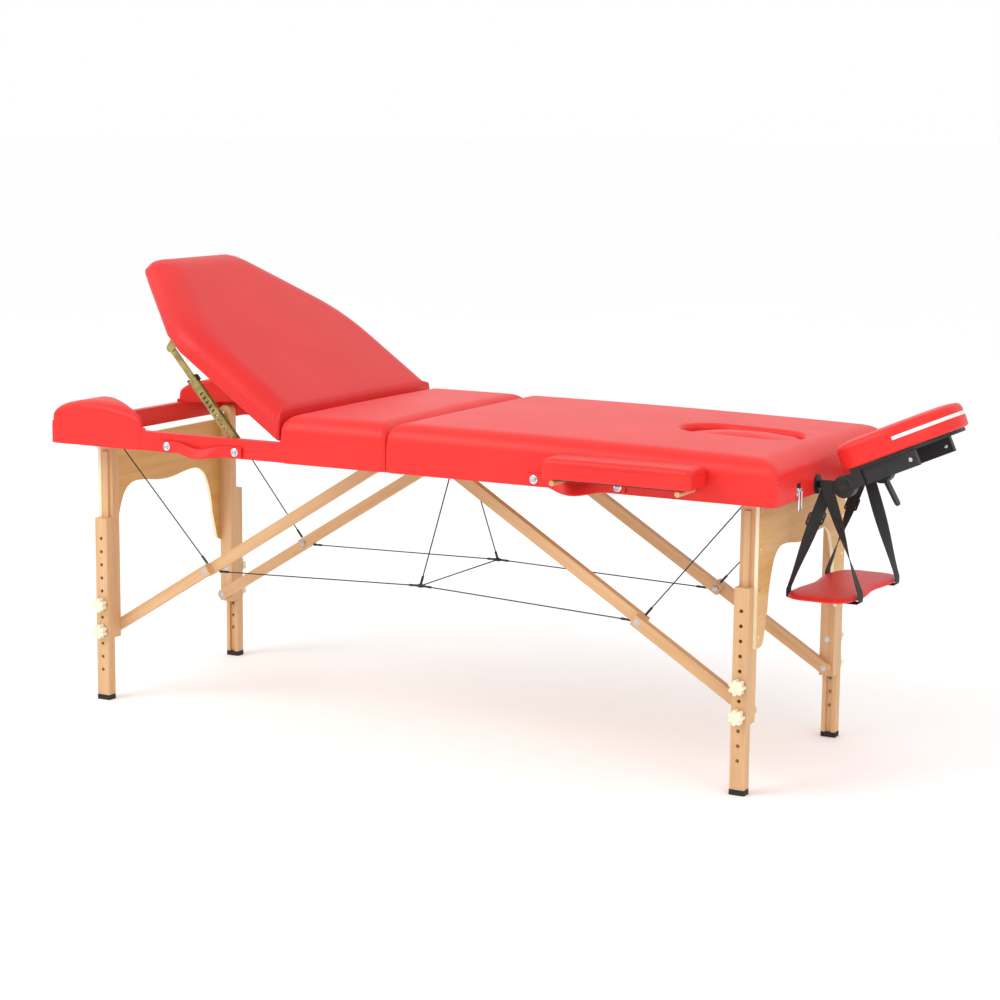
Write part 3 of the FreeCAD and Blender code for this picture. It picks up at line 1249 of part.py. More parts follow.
def armrest_dowels(y_side):
    """Dowels of one armrest, which slide into the side rail."""
    y_span = (RAIL_INNER - DOWEL_INNER, ARMREST_OUT - DOWEL_OUTER)
    dowels = [cross_rod(x, DOWEL_Z, y_span, DOWEL_R) for x in DOWEL_XS]
    return dowels if y_side > 0 else [far(dowel) for dowel in dowels]


def all_nodes():
    """Every named piece of the table, as lists of solids."""
    nodes = {
        "left_side_rails": side_rails(-1),
        "left_cross_rails": cross_rails(-1),
        "left_boards": left_boards(),
        "seat_pad": seat_pad(),
        "corner_pads": corner_pads(),
        "left_carry_handle": carry_handle(HANDLE_SCREWS_LEFT, HANDLE_DROOP_LEFT),
        "left_half_fittings": left_half_fittings(),
        "centre_hinge_pins": hinge_pins(),
        "right_side_rails": side_rails(1),
        "right_cross_rails": cross_rails(1),
        "right_board": right_board(),
        "right_pad": right_pad(),
        "right_carry_handle": carry_handle(HANDLE_SCREWS_RIGHT, HANDLE_DROOP_RIGHT),
        "right_half_fittings": right_half_fittings(),
        "cradle_sockets": cradle_sockets(),
        "latch_bails": both(latch_bail()),
        "face_plug": face_plug(),
        "backrest_board": backrest_board(),
        "backrest_pad": backrest_pad(),
        "backrest_fittings": backrest_fittings(),
        "strut_channels": strut_channels(),
        "strut_collars": strut_collars(),
        "strut_bars": strut_bars(),
        "centre_cables": centre_cables(),
        "cradle_posts": cradle_posts(),
        "cradle_frame": cradle_frame(),
        "face_cushion": face_cushion(),
        "cradle_lever": cradle_lever(),
        "sling_shelf": sling_shelf(),
        "sling_straps": sling_straps(),
    }
    for end, side in (("left", -1), ("right", 1)):
        nodes[f"{end}_upper_legs"] = upper_legs(side)
        nodes[f"{end}_end_panel"] = end_panel(side)
        nodes[f"{end}_leg_bolts"] = leg_bolts(side)
        nodes[f"{end}_upper_braces"] = upper_braces(side)
        nodes[f"{end}_lower_braces"] = lower_braces(side)
        nodes[f"{end}_knee_bolts"] = knee_bolts(side)
        nodes[f"{end}_cables"] = knee_cables(side)
        for place, y_side in (("near", -1), ("far", 1)):
            nodes[f"{place}_{end}_lower_leg"] = lower_leg(side, y_side)
            nodes[f"{place}_{end}_foot"] = foot(side, y_side)
            nodes[f"{place}_{end}_knobs"] = knobs(side, y_side)
    for place, y_side in (("near", -1), ("far", 1)):
        nodes[f"{place}_armrest_pad"] = armrest_pad(y_side)
        nodes[f"{place}_armrest_frame"] = armrest_board(y_side) + armrest_dowels(y_side)
    return nodes


def shift_to_middle(nodes):
    """Distance along X that puts the middle of the table's whole length at the origin."""
    boxes = [solid.optimalBoundingBox(False, False) for solids in nodes.values() for solid in solids]
    return -(min(box.XMin for box in boxes) + max(box.XMax for box in boxes)) / 2


NODES = all_nodes()
SHIFT_X = shift_to_middle(NODES)
os.makedirs("parts", exist_ok=True)
for name, solids in NODES.items():
    shape = Part.makeCompound(solids)
    shape.translate(Vector(SHIFT_X, 0, 0))
    shape.exportStep(f"parts/{name}.step")
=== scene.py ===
"""Looks of the folding massage table: soft covers, webbing, small fittings and finishes over its frame."""

import logging
import math
from dataclasses import dataclass
from enum import Enum
from typing import Callable, Sequence

import bmesh
import bpy
import numpy as np
from mathutils import Matrix


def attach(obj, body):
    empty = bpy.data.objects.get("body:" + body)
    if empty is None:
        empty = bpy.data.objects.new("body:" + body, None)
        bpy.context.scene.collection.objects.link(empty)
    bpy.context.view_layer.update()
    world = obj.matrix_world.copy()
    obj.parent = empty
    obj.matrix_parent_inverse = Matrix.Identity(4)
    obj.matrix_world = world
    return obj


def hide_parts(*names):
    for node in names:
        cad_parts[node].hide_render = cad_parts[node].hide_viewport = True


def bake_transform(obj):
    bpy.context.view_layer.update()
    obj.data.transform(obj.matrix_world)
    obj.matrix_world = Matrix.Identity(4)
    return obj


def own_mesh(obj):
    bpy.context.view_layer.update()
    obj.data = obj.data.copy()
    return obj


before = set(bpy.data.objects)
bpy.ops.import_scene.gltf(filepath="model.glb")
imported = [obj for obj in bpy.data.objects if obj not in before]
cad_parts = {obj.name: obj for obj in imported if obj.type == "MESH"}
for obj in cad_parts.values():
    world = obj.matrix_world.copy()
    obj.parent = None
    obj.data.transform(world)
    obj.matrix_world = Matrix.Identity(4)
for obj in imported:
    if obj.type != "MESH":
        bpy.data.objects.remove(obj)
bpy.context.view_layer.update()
LOG = logging.getLogger("table")

Array = np.ndarray
Obj = bpy.types.Object
Plan = Sequence[tuple[float, float]]

# Sizes shared by the sub-assemblies, in metres; X is counted from the centre hinge
SHIFT_X = -0.1384014
FRAME_Z = 0.637
RAIL_TOP = 0.682
PAD_BOTTOM = 0.6903
PAD_TOP = 0.7453
HALF_WIDTH = 0.350
POST_Y = 0.120
POST_Z = 0.657
HUB_X = 0.996
CRADLE_TILT = math.radians(24)
BACKREST = (-0.281, 0.678)
BACKREST_TILT = math.radians(35)
BRACE_DIR = (0.8498, -0.5270)
KNEE = (0.57069, 0.33695)


class Side(Enum):
    """The two halves of the table."""

    LEFT = "left"
    RIGHT = "right"


# Shader maths


class Wire:
    """One socket of a material, with arithmetic that adds nodes."""

    def __init__(self, shader: "Shader", socket: bpy.types.NodeSocket) -> None:
        """Keeps the shader and the socket."""
        self.shader = shader
        self.socket = socket

    def maths(self, kind: str, *others: "Wire | float") -> "Wire":
        """Math node of that kind with this wire as its first input."""
        return self.shader.node("ShaderNodeMath", {"operation": kind}, dict(enumerate([self, *others])))

    def vector(self, kind: str, *others: "Wire | Sequence[float]") -> "Wire":
        """Vector Math node of that kind with this wire as its first input."""
        return self.shader.node("ShaderNodeVectorMath", {"operation": kind}, dict(enumerate([self, *others])))

    def dot(self, way: Sequence[float]) -> "Wire":
        """Length of this vector along a fixed direction."""
        product = {"operation": "DOT_PRODUCT"}
        return self.shader.node("ShaderNodeVectorMath", product, {0: self, 1: way}, "Value")

    def scaled(self, share: "Wire | float") -> "Wire":
        """This vector times a number."""
        return self.shader.node("ShaderNodeVectorMath", {"operation": "SCALE"}, {0: self, "Scale": share})

    def step(self, low: float, high: float) -> "Wire":
        """Smooth step from 0 at low to 1 at high."""
        return self.shader.node("ShaderNodeMapRange", {"interpolation_type": "SMOOTHSTEP"},
                                {"Value": self, "From Min": low, "From Max": high})

    def band(self, middle: float, half: float, soft: float) -> "Wire":
        """1 within half of middle, falling to 0 over soft."""
        return 1.0 - (self - middle).maths("ABSOLUTE").step(half, half + soft)

    def __add__(self, other: "Wire | float") -> "Wire":
        """Sum."""
        return self.maths("ADD", other)

    def __mul__(self, other: "Wire | float") -> "Wire":
        """Product."""
        return self.maths("MULTIPLY", other)

    def __sub__(self, other: "Wire | float") -> "Wire":
        """Difference."""
        return self.maths("SUBTRACT", other)

    def __rsub__(self, other: float) -> "Wire":
        """Number minus this wire."""
        return self.shader.node("ShaderNodeMath", {"operation": "SUBTRACT"}, {0: other, 1: self})

    __radd__ = __add__
    __rmul__ = __mul__


class Shader:
    """A material with one Principled node, filled by calls."""

    def __init__(self, name: str) -> None:
        """Makes the material and keeps its tree and its Principled node."""
        self.material = bpy.data.materials.new(name)
        self.material.use_nodes = True
        self.tree = self.material.node_tree
        self.surface = self.tree.nodes["Principled BSDF"]

    def node(self, kind: str, settings: dict, inputs: dict, out: int | str = 0) -> Wire:
        """Adds any node.

        Args:
            kind: node type name.
            settings: properties set before the inputs.
            inputs: socket name or number to a wire or a constant.
            out: output socket.
        Returns:
            The wire of that output.
        """
        made = self.tree.nodes.new(kind)
        for key, value in settings.items():
            setattr(made, key, value)
        for key, value in inputs.items():
            self.feed(made.inputs[key], value)
        return Wire(self, made.outputs[out])

    def feed(self, socket: bpy.types.NodeSocket, value: "Wire | float | Sequence[float]") -> None:
        """Links a wire to a socket or sets its constant.

        Args:
            socket: the input.
            value: a wire or a constant.
        """
        if isinstance(value, Wire):
            self.tree.links.new(value.socket, socket)
        else:
            socket.default_value = value

    def set(self, **inputs: "Wire | float | Sequence[float]") -> None:
        """Feeds inputs of the Principled node; underscores stand for spaces."""
        for key, value in inputs.items():
            self.feed(self.surface.inputs[key.replace("_", " ")], value)

    def place(self) -> Wire:
        """Object coordinates, in metres."""
        return self.node("ShaderNodeTexCoord", {}, {}, "Object")

    def noise(self, at: Wire, scale: float, detail: float = 2.0) -> Wire:
        """Noise of that scale per metre, from 0 to 1."""
        return self.node("ShaderNodeTexNoise", {}, {"Vector": at, "Scale": scale, "Detail": detail})

    def mix(self, share: "Wire | float", a: "Wire | Sequence[float]", b: "Wire | Sequence[float]") -> Wire:
        """Colour from a to b."""
        return self.node("ShaderNodeMix", {"data_type": "RGBA"}, {0: share, 6: a, 7: b}, 2)

    def bump(self, height: Wire, depth: float, strength: float = 1.0) -> Wire:
        """Normal of a height that is 0 to 1 over that depth in metres."""
        return self.node("ShaderNodeBump", {}, {"Height": height, "Distance": depth, "Strength": strength})


def rgb(red: int, green: int, blue: int) -> tuple[float, float, float, float]:
    """Linear colour of an 8-bit sRGB one."""
    share = [c / 255 for c in (red, green, blue)]
    return tuple(s / 12.92 if s < 0.04045 else ((s + 0.055) / 1.055) ** 2.4 for s in share) + (1.0,)


# Finishes


@dataclass(frozen=True)
class Finish:
    """A named finish, whose paint method dresses its one material."""

    name: str

    def paint(self, shader: Shader) -> Wire:
        """Sets all but the base colour, and returns that colour; each finish has its own."""
        raise NotImplementedError

    def material(self) -> bpy.types.Material:
        """Makes the material.

        Returns:
            The material, with the painted colour as its base colour.
        """
        shader = Shader(self.name)
        shader.set(Base_Color=self.paint(shader))
        return shader.material


@dataclass(frozen=True)
class Vinyl(Finish):
    """Upholstery vinyl with a fine leather grain."""

    colour: tuple = rgb(225, 43, 38)
    shade: tuple = rgb(219, 39, 36)
    grain: float = 620.0
    depth: float = 0.00022
    roughness: float = 0.40

    def paint(self, shader: Shader) -> Wire:
        """Gloss clouded by broad noise, and a grain of smooth cells and noise as a bump.

        Args:
            shader: the material being made.
        Returns:
            The base colour.
        """
        at = shader.place()
        cells = shader.node("ShaderNodeTexVoronoi", {"feature": "SMOOTH_F1"},
                            {"Vector": at, "Scale": self.grain})
        broad = shader.noise(at, 7.0, 3.0)
        pits = cells * 0.6 + shader.noise(at, self.grain * 0.7) * 0.4
        shader.set(Roughness=self.roughness + broad * 0.04, Specular_IOR_Level=0.3,
                   Normal=shader.bump(pits, self.depth, 0.35))
        return shader.mix(broad.step(0.3, 0.75), self.colour, self.shade)


@dataclass(frozen=True)
class StripedVinyl(Vinyl):
    """The vinyl with a white band round the outer end of the face cushion."""

    band: tuple = (0.0600, 0.0034)
    start: float = 0.140

    def paint(self, shader: Shader) -> Wire:
        """Vinyl whose outer wall carries the stripe, within a band of heights and past its start.

        Args:
            shader: the material being made.
        Returns:
            The base colour.
        """
        red = super().paint(shader)
        at = shader.place()
        hub = (HUB_X + SHIFT_X, 0.0, POST_Z)
        along = (math.cos(CRADLE_TILT), 0.0, math.sin(CRADLE_TILT))
        rise = (-along[2], 0.0, along[0])
        near = at.vector("SUBTRACT", hub)
        outer = shader.node("ShaderNodeAttribute", {"attribute_name": "outer"}, {}, "Fac")
        mask = near.dot(rise).band(*self.band, 0.0008) * near.dot(along).step(self.start, self.start + 0.002)
        return shader.mix(mask * outer.step(0.6, 0.9), red, rgb(236, 228, 226))


@dataclass(frozen=True)
class Wood(Finish):
    """Oiled wood with its grain along a direction."""

    way: tuple = (0.0, 0.0, 1.0)
    colour: tuple = rgb(214, 172, 126)
    dark: tuple = rgb(193, 147, 100)
    fleck: float = 0.14
    roughness: float = 0.42

    def paint(self, shader: Shader) -> Wire:
        """Grain: noise drawn out along the direction, with short darker rays and a fine bump.

        Args:
            shader: the material being made.
        Returns:
            The base colour.
        """
        at = shader.place()
        drawn = at.vector("SUBTRACT", shader.node("ShaderNodeCombineXYZ", {}, {
            axis: at.dot(self.way) * (0.96 * share) for axis, share in zip("XYZ", self.way)}))
        broad = shader.noise(drawn, 38.0, 4.0)
        fine = shader.noise(drawn, 260.0, 3.0)
        rays = shader.noise(drawn.scaled(2.6), 330.0, 1.0).step(0.60, 0.72)
        tone = broad.step(0.3, 0.75) * 0.6 + fine.step(0.35, 0.8) * 0.4
        shader.set(Roughness=self.roughness + fine * 0.12, Normal=shader.bump(fine, 0.00015, 0.4))
        body = shader.mix(tone, self.colour, self.dark)
        return shader.mix(rays * self.fleck, body, tuple(0.55 * c for c in self.dark[:3]) + (1.0,))


@dataclass(frozen=True)
class BoardAndDowel(Wood):
    """Beech below a height and a black painted board above it."""

    split: float = 0.6647
    board: tuple = (0.3975, 0.0213)

    def paint(self, shader: Shader) -> Wire:
        """Wood for the dowels, black for the board.

        Args:
            shader: the material being made.
        Returns:
            The base colour.
        """
        wood = super().paint(shader)
        at = shader.place()
        high = at.dot((0, 0, 1)).step(self.split - 0.0002, self.split + 0.0002)
        inside = at.dot((0, 1, 0)).maths("ABSOLUTE").band(*self.board, 0.0002)
        return shader.mix(high * inside, wood, rgb(26, 25, 25))


@dataclass(frozen=True)
class EdgedBoard(Wood):
    """Board whose edges differ from its faces: wrapped in the cover's vinyl, or with a pale strip."""

    wrap: tuple = rgb(214, 30, 31)
    face: tuple = (0.0, 0.0, 1.0)

    def paint(self, shader: Shader) -> Wire:
        """Wood on the two faces and the other colour on the edges, told apart by the surface normal.

        Args:
            shader: the material being made.
        Returns:
            The base colour.
        """
        wood = super().paint(shader)
        normal = shader.node("ShaderNodeTexCoord", {}, {}, "Normal")
        flat = normal.dot(self.face).maths("ABSOLUTE").step(0.5, 0.8)
        return shader.mix(flat, self.wrap, wood)


@dataclass(frozen=True)
class Metal(Finish):
    """Plated metal with fine brushing and clouded gloss."""

    colour: tuple = rgb(196, 198, 202)
    tint: tuple = rgb(170, 176, 186)
    roughness: float = 0.28
    brush: float = 900.0

    def paint(self, shader: Shader) -> Wire:
        """Colour and gloss clouded by the same noise, and a fine noise as a bump.

        Args:
            shader: the material being made.
        Returns:
            The base colour.
        """
        at = shader.place()
        cloud = shader.noise(at, 45.0, 3.0)
        fine = shader.noise(at, self.brush, 2.0)
        shader.set(Metallic=1.0, Roughness=self.roughness + cloud * 0.12,
                   Normal=shader.bump(fine, 0.00005, 0.3))
        return shader.mix(cloud.step(0.3, 0.7), self.colour, self.tint)


@dataclass(frozen=True)
class Plastic(Finish):
    """Moulded plastic, rubber or painted wire with a slight mottle."""

    colour: tuple = rgb(17, 17, 18)
    tint: tuple = rgb(28, 28, 30)
    roughness: float = 0.42
    texture: float = 800.0

    def paint(self, shader: Shader) -> Wire:
        """Colour and gloss mottled by the same noise, and a finer noise as a bump.

        Args:
            shader: the material being made.
        Returns:
            The base colour.
        """
        at = shader.place()
        mottle = shader.noise(at, 60.0, 3.0)
        fine = shader.noise(at, self.texture, 2.0)
        shader.set(Roughness=self.roughness + mottle * 0.15, Normal=shader.bump(fine, 0.0001, 0.35))
        return shader.mix(mottle.step(0.35, 0.8), self.colour, self.tint)


@dataclass(frozen=True)
class Webbing(Finish):
    """Woven webbing: a twill of crossed sine threads."""

    colour: tuple = rgb(16, 16, 17)
    thread: float = 1500.0

    def paint(self, shader: Shader) -> Wire:
        """Weave on the piece's own UV: the product of two sines, across and aslant.

        Args:
            shader: the material being made.
        Returns:
            The base colour.
        """
        uv = shader.node("ShaderNodeUVMap", {"uv_map": "weave"}, {})
        warp = (uv.dot((1, 0, 0)) * self.thread).maths("SINE")
        weft = ((uv.dot((0, 1, 0)) + uv.dot((0.5, 0, 0))) * (self.thread * 1.3)).maths("SINE")
        weave = warp * weft * 0.5 + 0.5
        shader.set(Roughness=0.75, Normal=shader.bump(weave, 0.0004, 0.6))
        return shader.mix(weave, self.colour, rgb(44, 44, 46))


# Surfaces


@dataclass
class Shape:
    """Points and four-sided faces, before they become a mesh."""

    points: Array
    quads: Array

    def turned(self, matrix: Array, about: Sequence[float]) -> "Shape":
        """Turned by a matrix about a point."""
        return Shape((self.points - about) @ np.asarray(matrix).T + about, self.quads)

    def moved(self, by: Sequence[float]) -> "Shape":
        """Moved by a vector."""
        return Shape(self.points + np.asarray(by), self.quads)

    def mirrored(self) -> "Shape":
        """The copy on the far side, across the XZ plane."""
        return Shape(self.points * (1, -1, 1), self.quads[:, ::-1])


def grid_shape(grid: Array, wrap_rows: bool = False, wrap_cols: bool = True) -> Shape:
    """Faces over a grid of points.

    Args:
        grid: points, rows by columns.
        wrap_rows: whether the last row joins the first.
        wrap_cols: whether the last column joins the first.
    Returns:
        The shape of all the grid's cells.
    """
    rows, cols = grid.shape[:2]
    number = np.arange(rows * cols).reshape(rows, cols)
    if wrap_rows:
        number = np.vstack([number, number[:1]])
    if wrap_cols:
        number = np.hstack([number, number[:, :1]])
    quads = np.stack([number[:-1, :-1], number[:-1, 1:], number[1:, 1:], number[1:, :-1]], -1)
    return Shape(grid.reshape(-1, 3), quads.reshape(-1, 4))


def joined(shapes: Sequence[Shape]) -> Shape:
    """Several shapes as one."""
    starts = np.cumsum([0] + [len(s.points) for s in shapes[:-1]])
    return Shape(np.vstack([s.points for s in shapes]),
                 np.vstack([s.quads + n for s, n in zip(shapes, starts)]))


def piece(name: str, shape: Shape, finish: bpy.types.Material, sharp: float = 40.0) -> Obj:
    """Mesh object of a shape given from the centre hinge.

    Args:
        name: object name.
        shape: points in metres and faces; poles and seams are points that coincide and are merged here.
        finish: its material.
        sharp: edges bent by more than this many degrees stay sharp.
    Returns:
        The object, linked to the scene, at the origin, with its faces outward.
    """
    mesh = bpy.data.meshes.new(name)
    mesh.from_pydata((shape.points + (SHIFT_X, 0, 0)).tolist(), [], shape.quads.tolist())
    work = bmesh.new()
    work.from_mesh(mesh)
    bmesh.ops.remove_doubles(work, verts=work.verts, dist=2e-6)
    bmesh.ops.dissolve_degenerate(work, edges=work.edges, dist=1e-7)
    bmesh.ops.recalc_face_normals(work, faces=work.faces)
    work.to_mesh(mesh)
    work.free()
    mesh.polygons.foreach_set("use_smooth", np.ones(len(mesh.polygons), bool))
    mesh.set_sharp_from_angle(angle=math.radians(sharp))
    mesh.materials.append(finish)
    made = bpy.data.objects.new(name, mesh)
    bpy.context.scene.collection.objects.link(made)
    return made


def coordinates(made: Obj) -> Array:
    """Points of a piece, counted from the centre hinge.

    Args:
        made: the piece.
    Returns:
        Its points as rows of X, Y and Z.
    """
    flat = np.empty(len(made.data.vertices) * 3)
    made.data.vertices.foreach_get("co", flat)
    return flat.reshape(-1, 3) - (SHIFT_X, 0, 0)


@dataclass
class Loop:
    """Closed plan outline: its points, and for each the edges beside it, its share between and along them."""

    points: Array
    before: Array
    after: Array
    share: Array
    along: Array

    def values(self, per_edge: Sequence[float]) -> Array:
        """One number per edge, carried to the points and blended round the corners."""
        table = np.asarray(per_edge, float)
        return table[self.before] * (1 - self.share) + table[self.after] * self.share


def outline(corners: Plan, radii: Sequence[float], per_edge: int = 48, per_arc: int = 9) -> Loop:
    """Polygon with an arc at each corner, walked counter-clockwise.

    Args:
        corners: the polygon.
        radii: arc radius of each corner.
        per_edge: points on each straight edge.
        per_arc: points on each arc.
    Returns:
        The outline.
    """
    at = np.asarray(corners, float)
    count = len(at)
    ways = np.roll(at, -1, 0) - at
    lengths = np.linalg.norm(ways, axis=1)
    ways = ways / lengths[:, None]
    back = np.roll(ways, 1, 0)
    turn = np.arctan2(back[:, 0] * ways[:, 1] - back[:, 1] * ways[:, 0], (back * ways).sum(1))
    reach = np.asarray(radii) * np.tan(np.abs(turn) / 2)
    points, before, after, share, along = [], [], [], [], []
    for k in range(count):
        normal = np.array([-back[k, 1], back[k, 0]])
        step = np.linspace(0, 1, per_arc)
        angle = turn[k] * step
        c, s = np.cos(angle), np.sin(angle)
        spin = -normal[0] * c + normal[1] * s, -normal[0] * s - normal[1] * c
        points.append(at[k] - back[k] * reach[k] + normal * radii[k] + radii[k] * np.stack(spin, 1))
        walk = np.linspace(0, 1, per_edge + 2)[1:-1]
        start = at[k] + ways[k] * reach[k]
        end = at[(k + 1) % count] - ways[k] * reach[(k + 1) % count]
        points.append(start + walk[:, None] * (end - start))
        before += [np.full(per_arc, k - 1), np.full(per_edge, k)]
        after += [np.full(per_arc, k), np.full(per_edge, k)]
        share += [step, np.zeros(per_edge)]
        along += [np.zeros(per_arc), walk]
    return Loop(np.vstack(points), *(np.concatenate(part) for part in (before, after, share, along)))


def inset(corners: Plan, distances: Sequence[float]) -> Array:
    """Moves the edges of a polygon inward and solves for where each meets the one before it.

    Args:
        corners: the polygon, counter-clockwise.
        distances: how far each edge moves.
    Returns:
        The new corners.
    """
    at = np.asarray(corners, float)
    ways = np.roll(at, -1, 0) - at
    ways = ways / np.linalg.norm(ways, axis=1)[:, None]
    inward = np.stack([-ways[:, 1], ways[:, 0]], 1)
    level = (at * inward).sum(1) + np.asarray(distances)
    last, last_level = np.roll(inward, 1, 0), np.roll(level, 1)
    pairs = np.stack([last, inward], 1)
    return np.linalg.solve(pairs, np.stack([last_level, level], 1)[..., None])[..., 0]


def stadium(angle: Array, length: float, width: float) -> Array:
    """Oval of two straight sides and two half rounds, about the middle.

    Args:
        angle: directions from the middle.
        length: size along X.
        width: size along Y.
    Returns:
        The point where each direction leaves the oval.
    """
    c, s = np.cos(angle), np.sin(angle)
    radius, run = width / 2, length / 2 - width / 2
    side = radius / np.maximum(np.abs(s), 1e-9)
    end = run * np.abs(c) + np.sqrt(np.maximum(radius ** 2 - (run * s) ** 2, 0))
    reach = np.where(side * np.abs(c) <= run, side, end)
    return np.stack([reach * c, reach * s], 1)


@dataclass
class PadForm:
    """A stuffed pad: a rounded top over walls that fall to a hem, closed underneath.

    The lists hold one number per edge of the plan: how far the rounding reaches inward, how far it falls, the
    height of the hem, how far the skin turns under, and how far the middle of the edge is drawn in.
    The rounding's inner corners have core_share of the plan's radii.
    """

    corners: Plan
    radii: Sequence[float]
    reach: Sequence[float]
    drop: Sequence[float]
    hem: Sequence[float]
    under: Sequence[float]
    drawn: Sequence[float]
    height: Callable[[Array, Array], Array]
    floor: float
    spine: tuple[float, float, float] = (0.0, 0.0, 0.0)
    hole: tuple[float, float, float] | None = None
    flare: float = 0.012
    bulge: float = 0.0015
    ripple: float = 0.0012
    per_edge: int = 48
    core_share: float = 0.5

    def level(self, plan: Array, z: Array | float) -> Array:
        """Row of points from a plan and heights."""
        return np.column_stack([plan, np.broadcast_to(z, len(plan))])

    def shape(self) -> Shape:
        """Rows from the hem's inside up the wall, round the edge and over the top, as a closed skin.

        The wall swells by a half sine and the edge is a quarter round from the wall to the top, so a point
        is core + (wall - core) cos f at height top - drop (1 - sin f); near the corners the edge is puckered
        by a sine that fades with the distance. The top runs straight in plan to the spine or the hole's rim.

        Returns:
            The skin.
        """
        loop = outline(self.corners, self.radii, self.per_edge)
        ways = np.roll(np.asarray(self.corners, float), -1, 0) - np.asarray(self.corners, float)
        ways = ways / np.linalg.norm(ways, axis=1)[:, None]
        normal = np.stack([-ways[:, 1], ways[:, 0]], 1)[loop.after]
        wall = loop.points + normal * (loop.values(self.drawn) * np.sin(np.pi * loop.along))[:, None]
        core_radii = [max(r * self.core_share, 0.004) for r in self.radii]
        core = outline(inset(self.corners, self.reach), core_radii, self.per_edge).points
        inward = (core - wall) / np.linalg.norm(core - wall, axis=1)[:, None]
        drop, hem, under = loop.values(self.drop), loop.values(self.hem), loop.values(self.under)
        walk = np.concatenate([[0], np.cumsum(np.linalg.norm(np.diff(loop.points, axis=0), axis=1))])
        near = np.zeros(len(walk))
        for corner in np.asarray(self.corners, float):
            gap = walk - walk[np.argmin(np.linalg.norm(loop.points - corner, axis=1))]
            near += np.exp(-(gap / 0.030) ** 2) * np.sin(gap * 2 * np.pi / 0.017)
        centre, hole_rows = self.middle(core)
        rows = [self.level(wall + inward * (under + 0.002)[:, None], self.floor),
                self.level(wall + inward * under[:, None], hem - 0.0012),
                self.level(wall + inward * 0.002, hem - 0.0012)]
        top = self.height(wall[:, 0], wall[:, 1]) - drop
        for share in np.linspace(0, 1, 9):
            out = self.bulge * math.sin(math.pi * share)
            rows.append(self.level(wall - inward * out, hem + (top - hem) * share))
        for turn in np.radians(np.linspace(0, 90, 12))[1:]:
            plan = core + (wall - core) * math.cos(turn)
            fold = self.ripple * math.sin(2 * turn) * near
            rows.append(self.level(plan + inward * fold[:, None],
                                   self.height(plan[:, 0], plan[:, 1]) - drop * (1 - math.sin(turn))))
        for share in np.linspace(0, 1, 22)[1:]:
            plan = core + (centre - core) * share
            rows.append(self.level(plan, self.height(plan[:, 0], plan[:, 1])))
        rows += hole_rows
        if self.hole is None:
            rows.insert(0, self.level(centre, self.floor))
        return grid_shape(np.stack(rows), wrap_rows=self.hole is not None)

    def middle(self, core: Array) -> tuple[Array, list[Array]]:
        """Where the top rows end: the spine, or a hole with a rolled rim and a wall of its own.

        Args:
            core: inner edge of the rounding.
        Returns:
            The plan of the last top row, and the rows that follow it.
        """
        if self.hole is None:
            x0, x1, y = self.spine
            return np.column_stack([np.clip(core[:, 0], x0, x1), np.full(len(core), y)]), []
        x, length, width = self.hole
        angle = np.arctan2(core[:, 1], core[:, 0] - x)
        rows = []
        for turn in np.radians(np.linspace(0, 90, 8)):
            out = 2 * self.flare * (1 - math.sin(turn))
            plan = stadium(angle, length + out, width + out) + (x, 0)
            sunk = self.flare * (1 - math.cos(turn))
            rows.append(self.level(plan, self.height(plan[:, 0], plan[:, 1]) - sunk))
        rows.append(self.level(stadium(angle, length, width) + (x, 0), self.floor))
        return rows[0][:, :2], rows[1:]


def tube(path: Array, radius: Array | float, sides: int = 12) -> Shape:
    """Round tube along a path, closed at both ends.

    Args:
        path: its middle line.
        radius: one radius, or one for each point.
        sides: points round it.
    Returns:
        The tube: a circle in the plane across the path at each point.
    """
    way = np.gradient(path, axis=0)
    way = way / np.linalg.norm(way, axis=1)[:, None]
    aside = np.cross(way, (0.0, 1.0, 0.02))
    aside = aside / np.linalg.norm(aside, axis=1)[:, None]
    up = np.cross(way, aside)
    angle = np.linspace(0, 2 * np.pi, sides, endpoint=False)
    ring = np.cos(angle)[None, :, None] * aside[:, None] + np.sin(angle)[None, :, None] * up[:, None]
    size = np.broadcast_to(radius, len(path))[:, None, None]
    grid = path[:, None] + ring * size
    ends = [np.repeat(path[k][None, None], sides, 1) for k in (0, -1)]
    return grid_shape(np.concatenate([ends[0], grid, ends[1]]))


def band(path: Array, wide: Array, section: Array) -> Shape:
    """Strip along a path, capped at both ends.

    Args:
        path: its middle line.
        wide: the across direction at each point; out is the cross product of the path's way and this.
        section: closed section of (across, out) points.
    Returns:
        The section carried along the path.
    """
    way = np.gradient(path, axis=0)
    out = np.cross(way, wide)
    out = out / np.linalg.norm(out, axis=1)[:, None]
    grid = path[:, None] + section[None, :, :1] * wide[:, None] + section[None, :, 1:] * out[:, None]
    ends = [np.repeat(grid[k].mean(0)[None, None], len(section), 1) for k in (0, -1)]
    return grid_shape(np.concatenate([ends[0], grid, ends[1]]))


def lathe(profile: Plan, at: Sequence[float], way: Sequence[float], sides: int = 24) -> Shape:
    """Turned shape.

    Args:
        profile: (radius, height) points, from the axis back to the axis.
        at: the point of height 0.
        way: direction of the axis.
        sides: points round it.
    Returns:
        The profile spun about the axis.
    """
    axis = np.asarray(way, float) / np.linalg.norm(way)
    aside = np.cross(axis, (0.3, 0.5, 0.8))
    aside = aside / np.linalg.norm(aside)
    up = np.cross(axis, aside)
    angle = np.linspace(0, 2 * np.pi, sides, endpoint=False)
    ring = np.cos(angle)[:, None] * aside + np.sin(angle)[:, None] * up
    table = np.asarray(profile, float)
    grid = np.asarray(at) + table[:, 0, None, None] * ring + table[:, 1, None, None] * axis
    return grid_shape(grid)


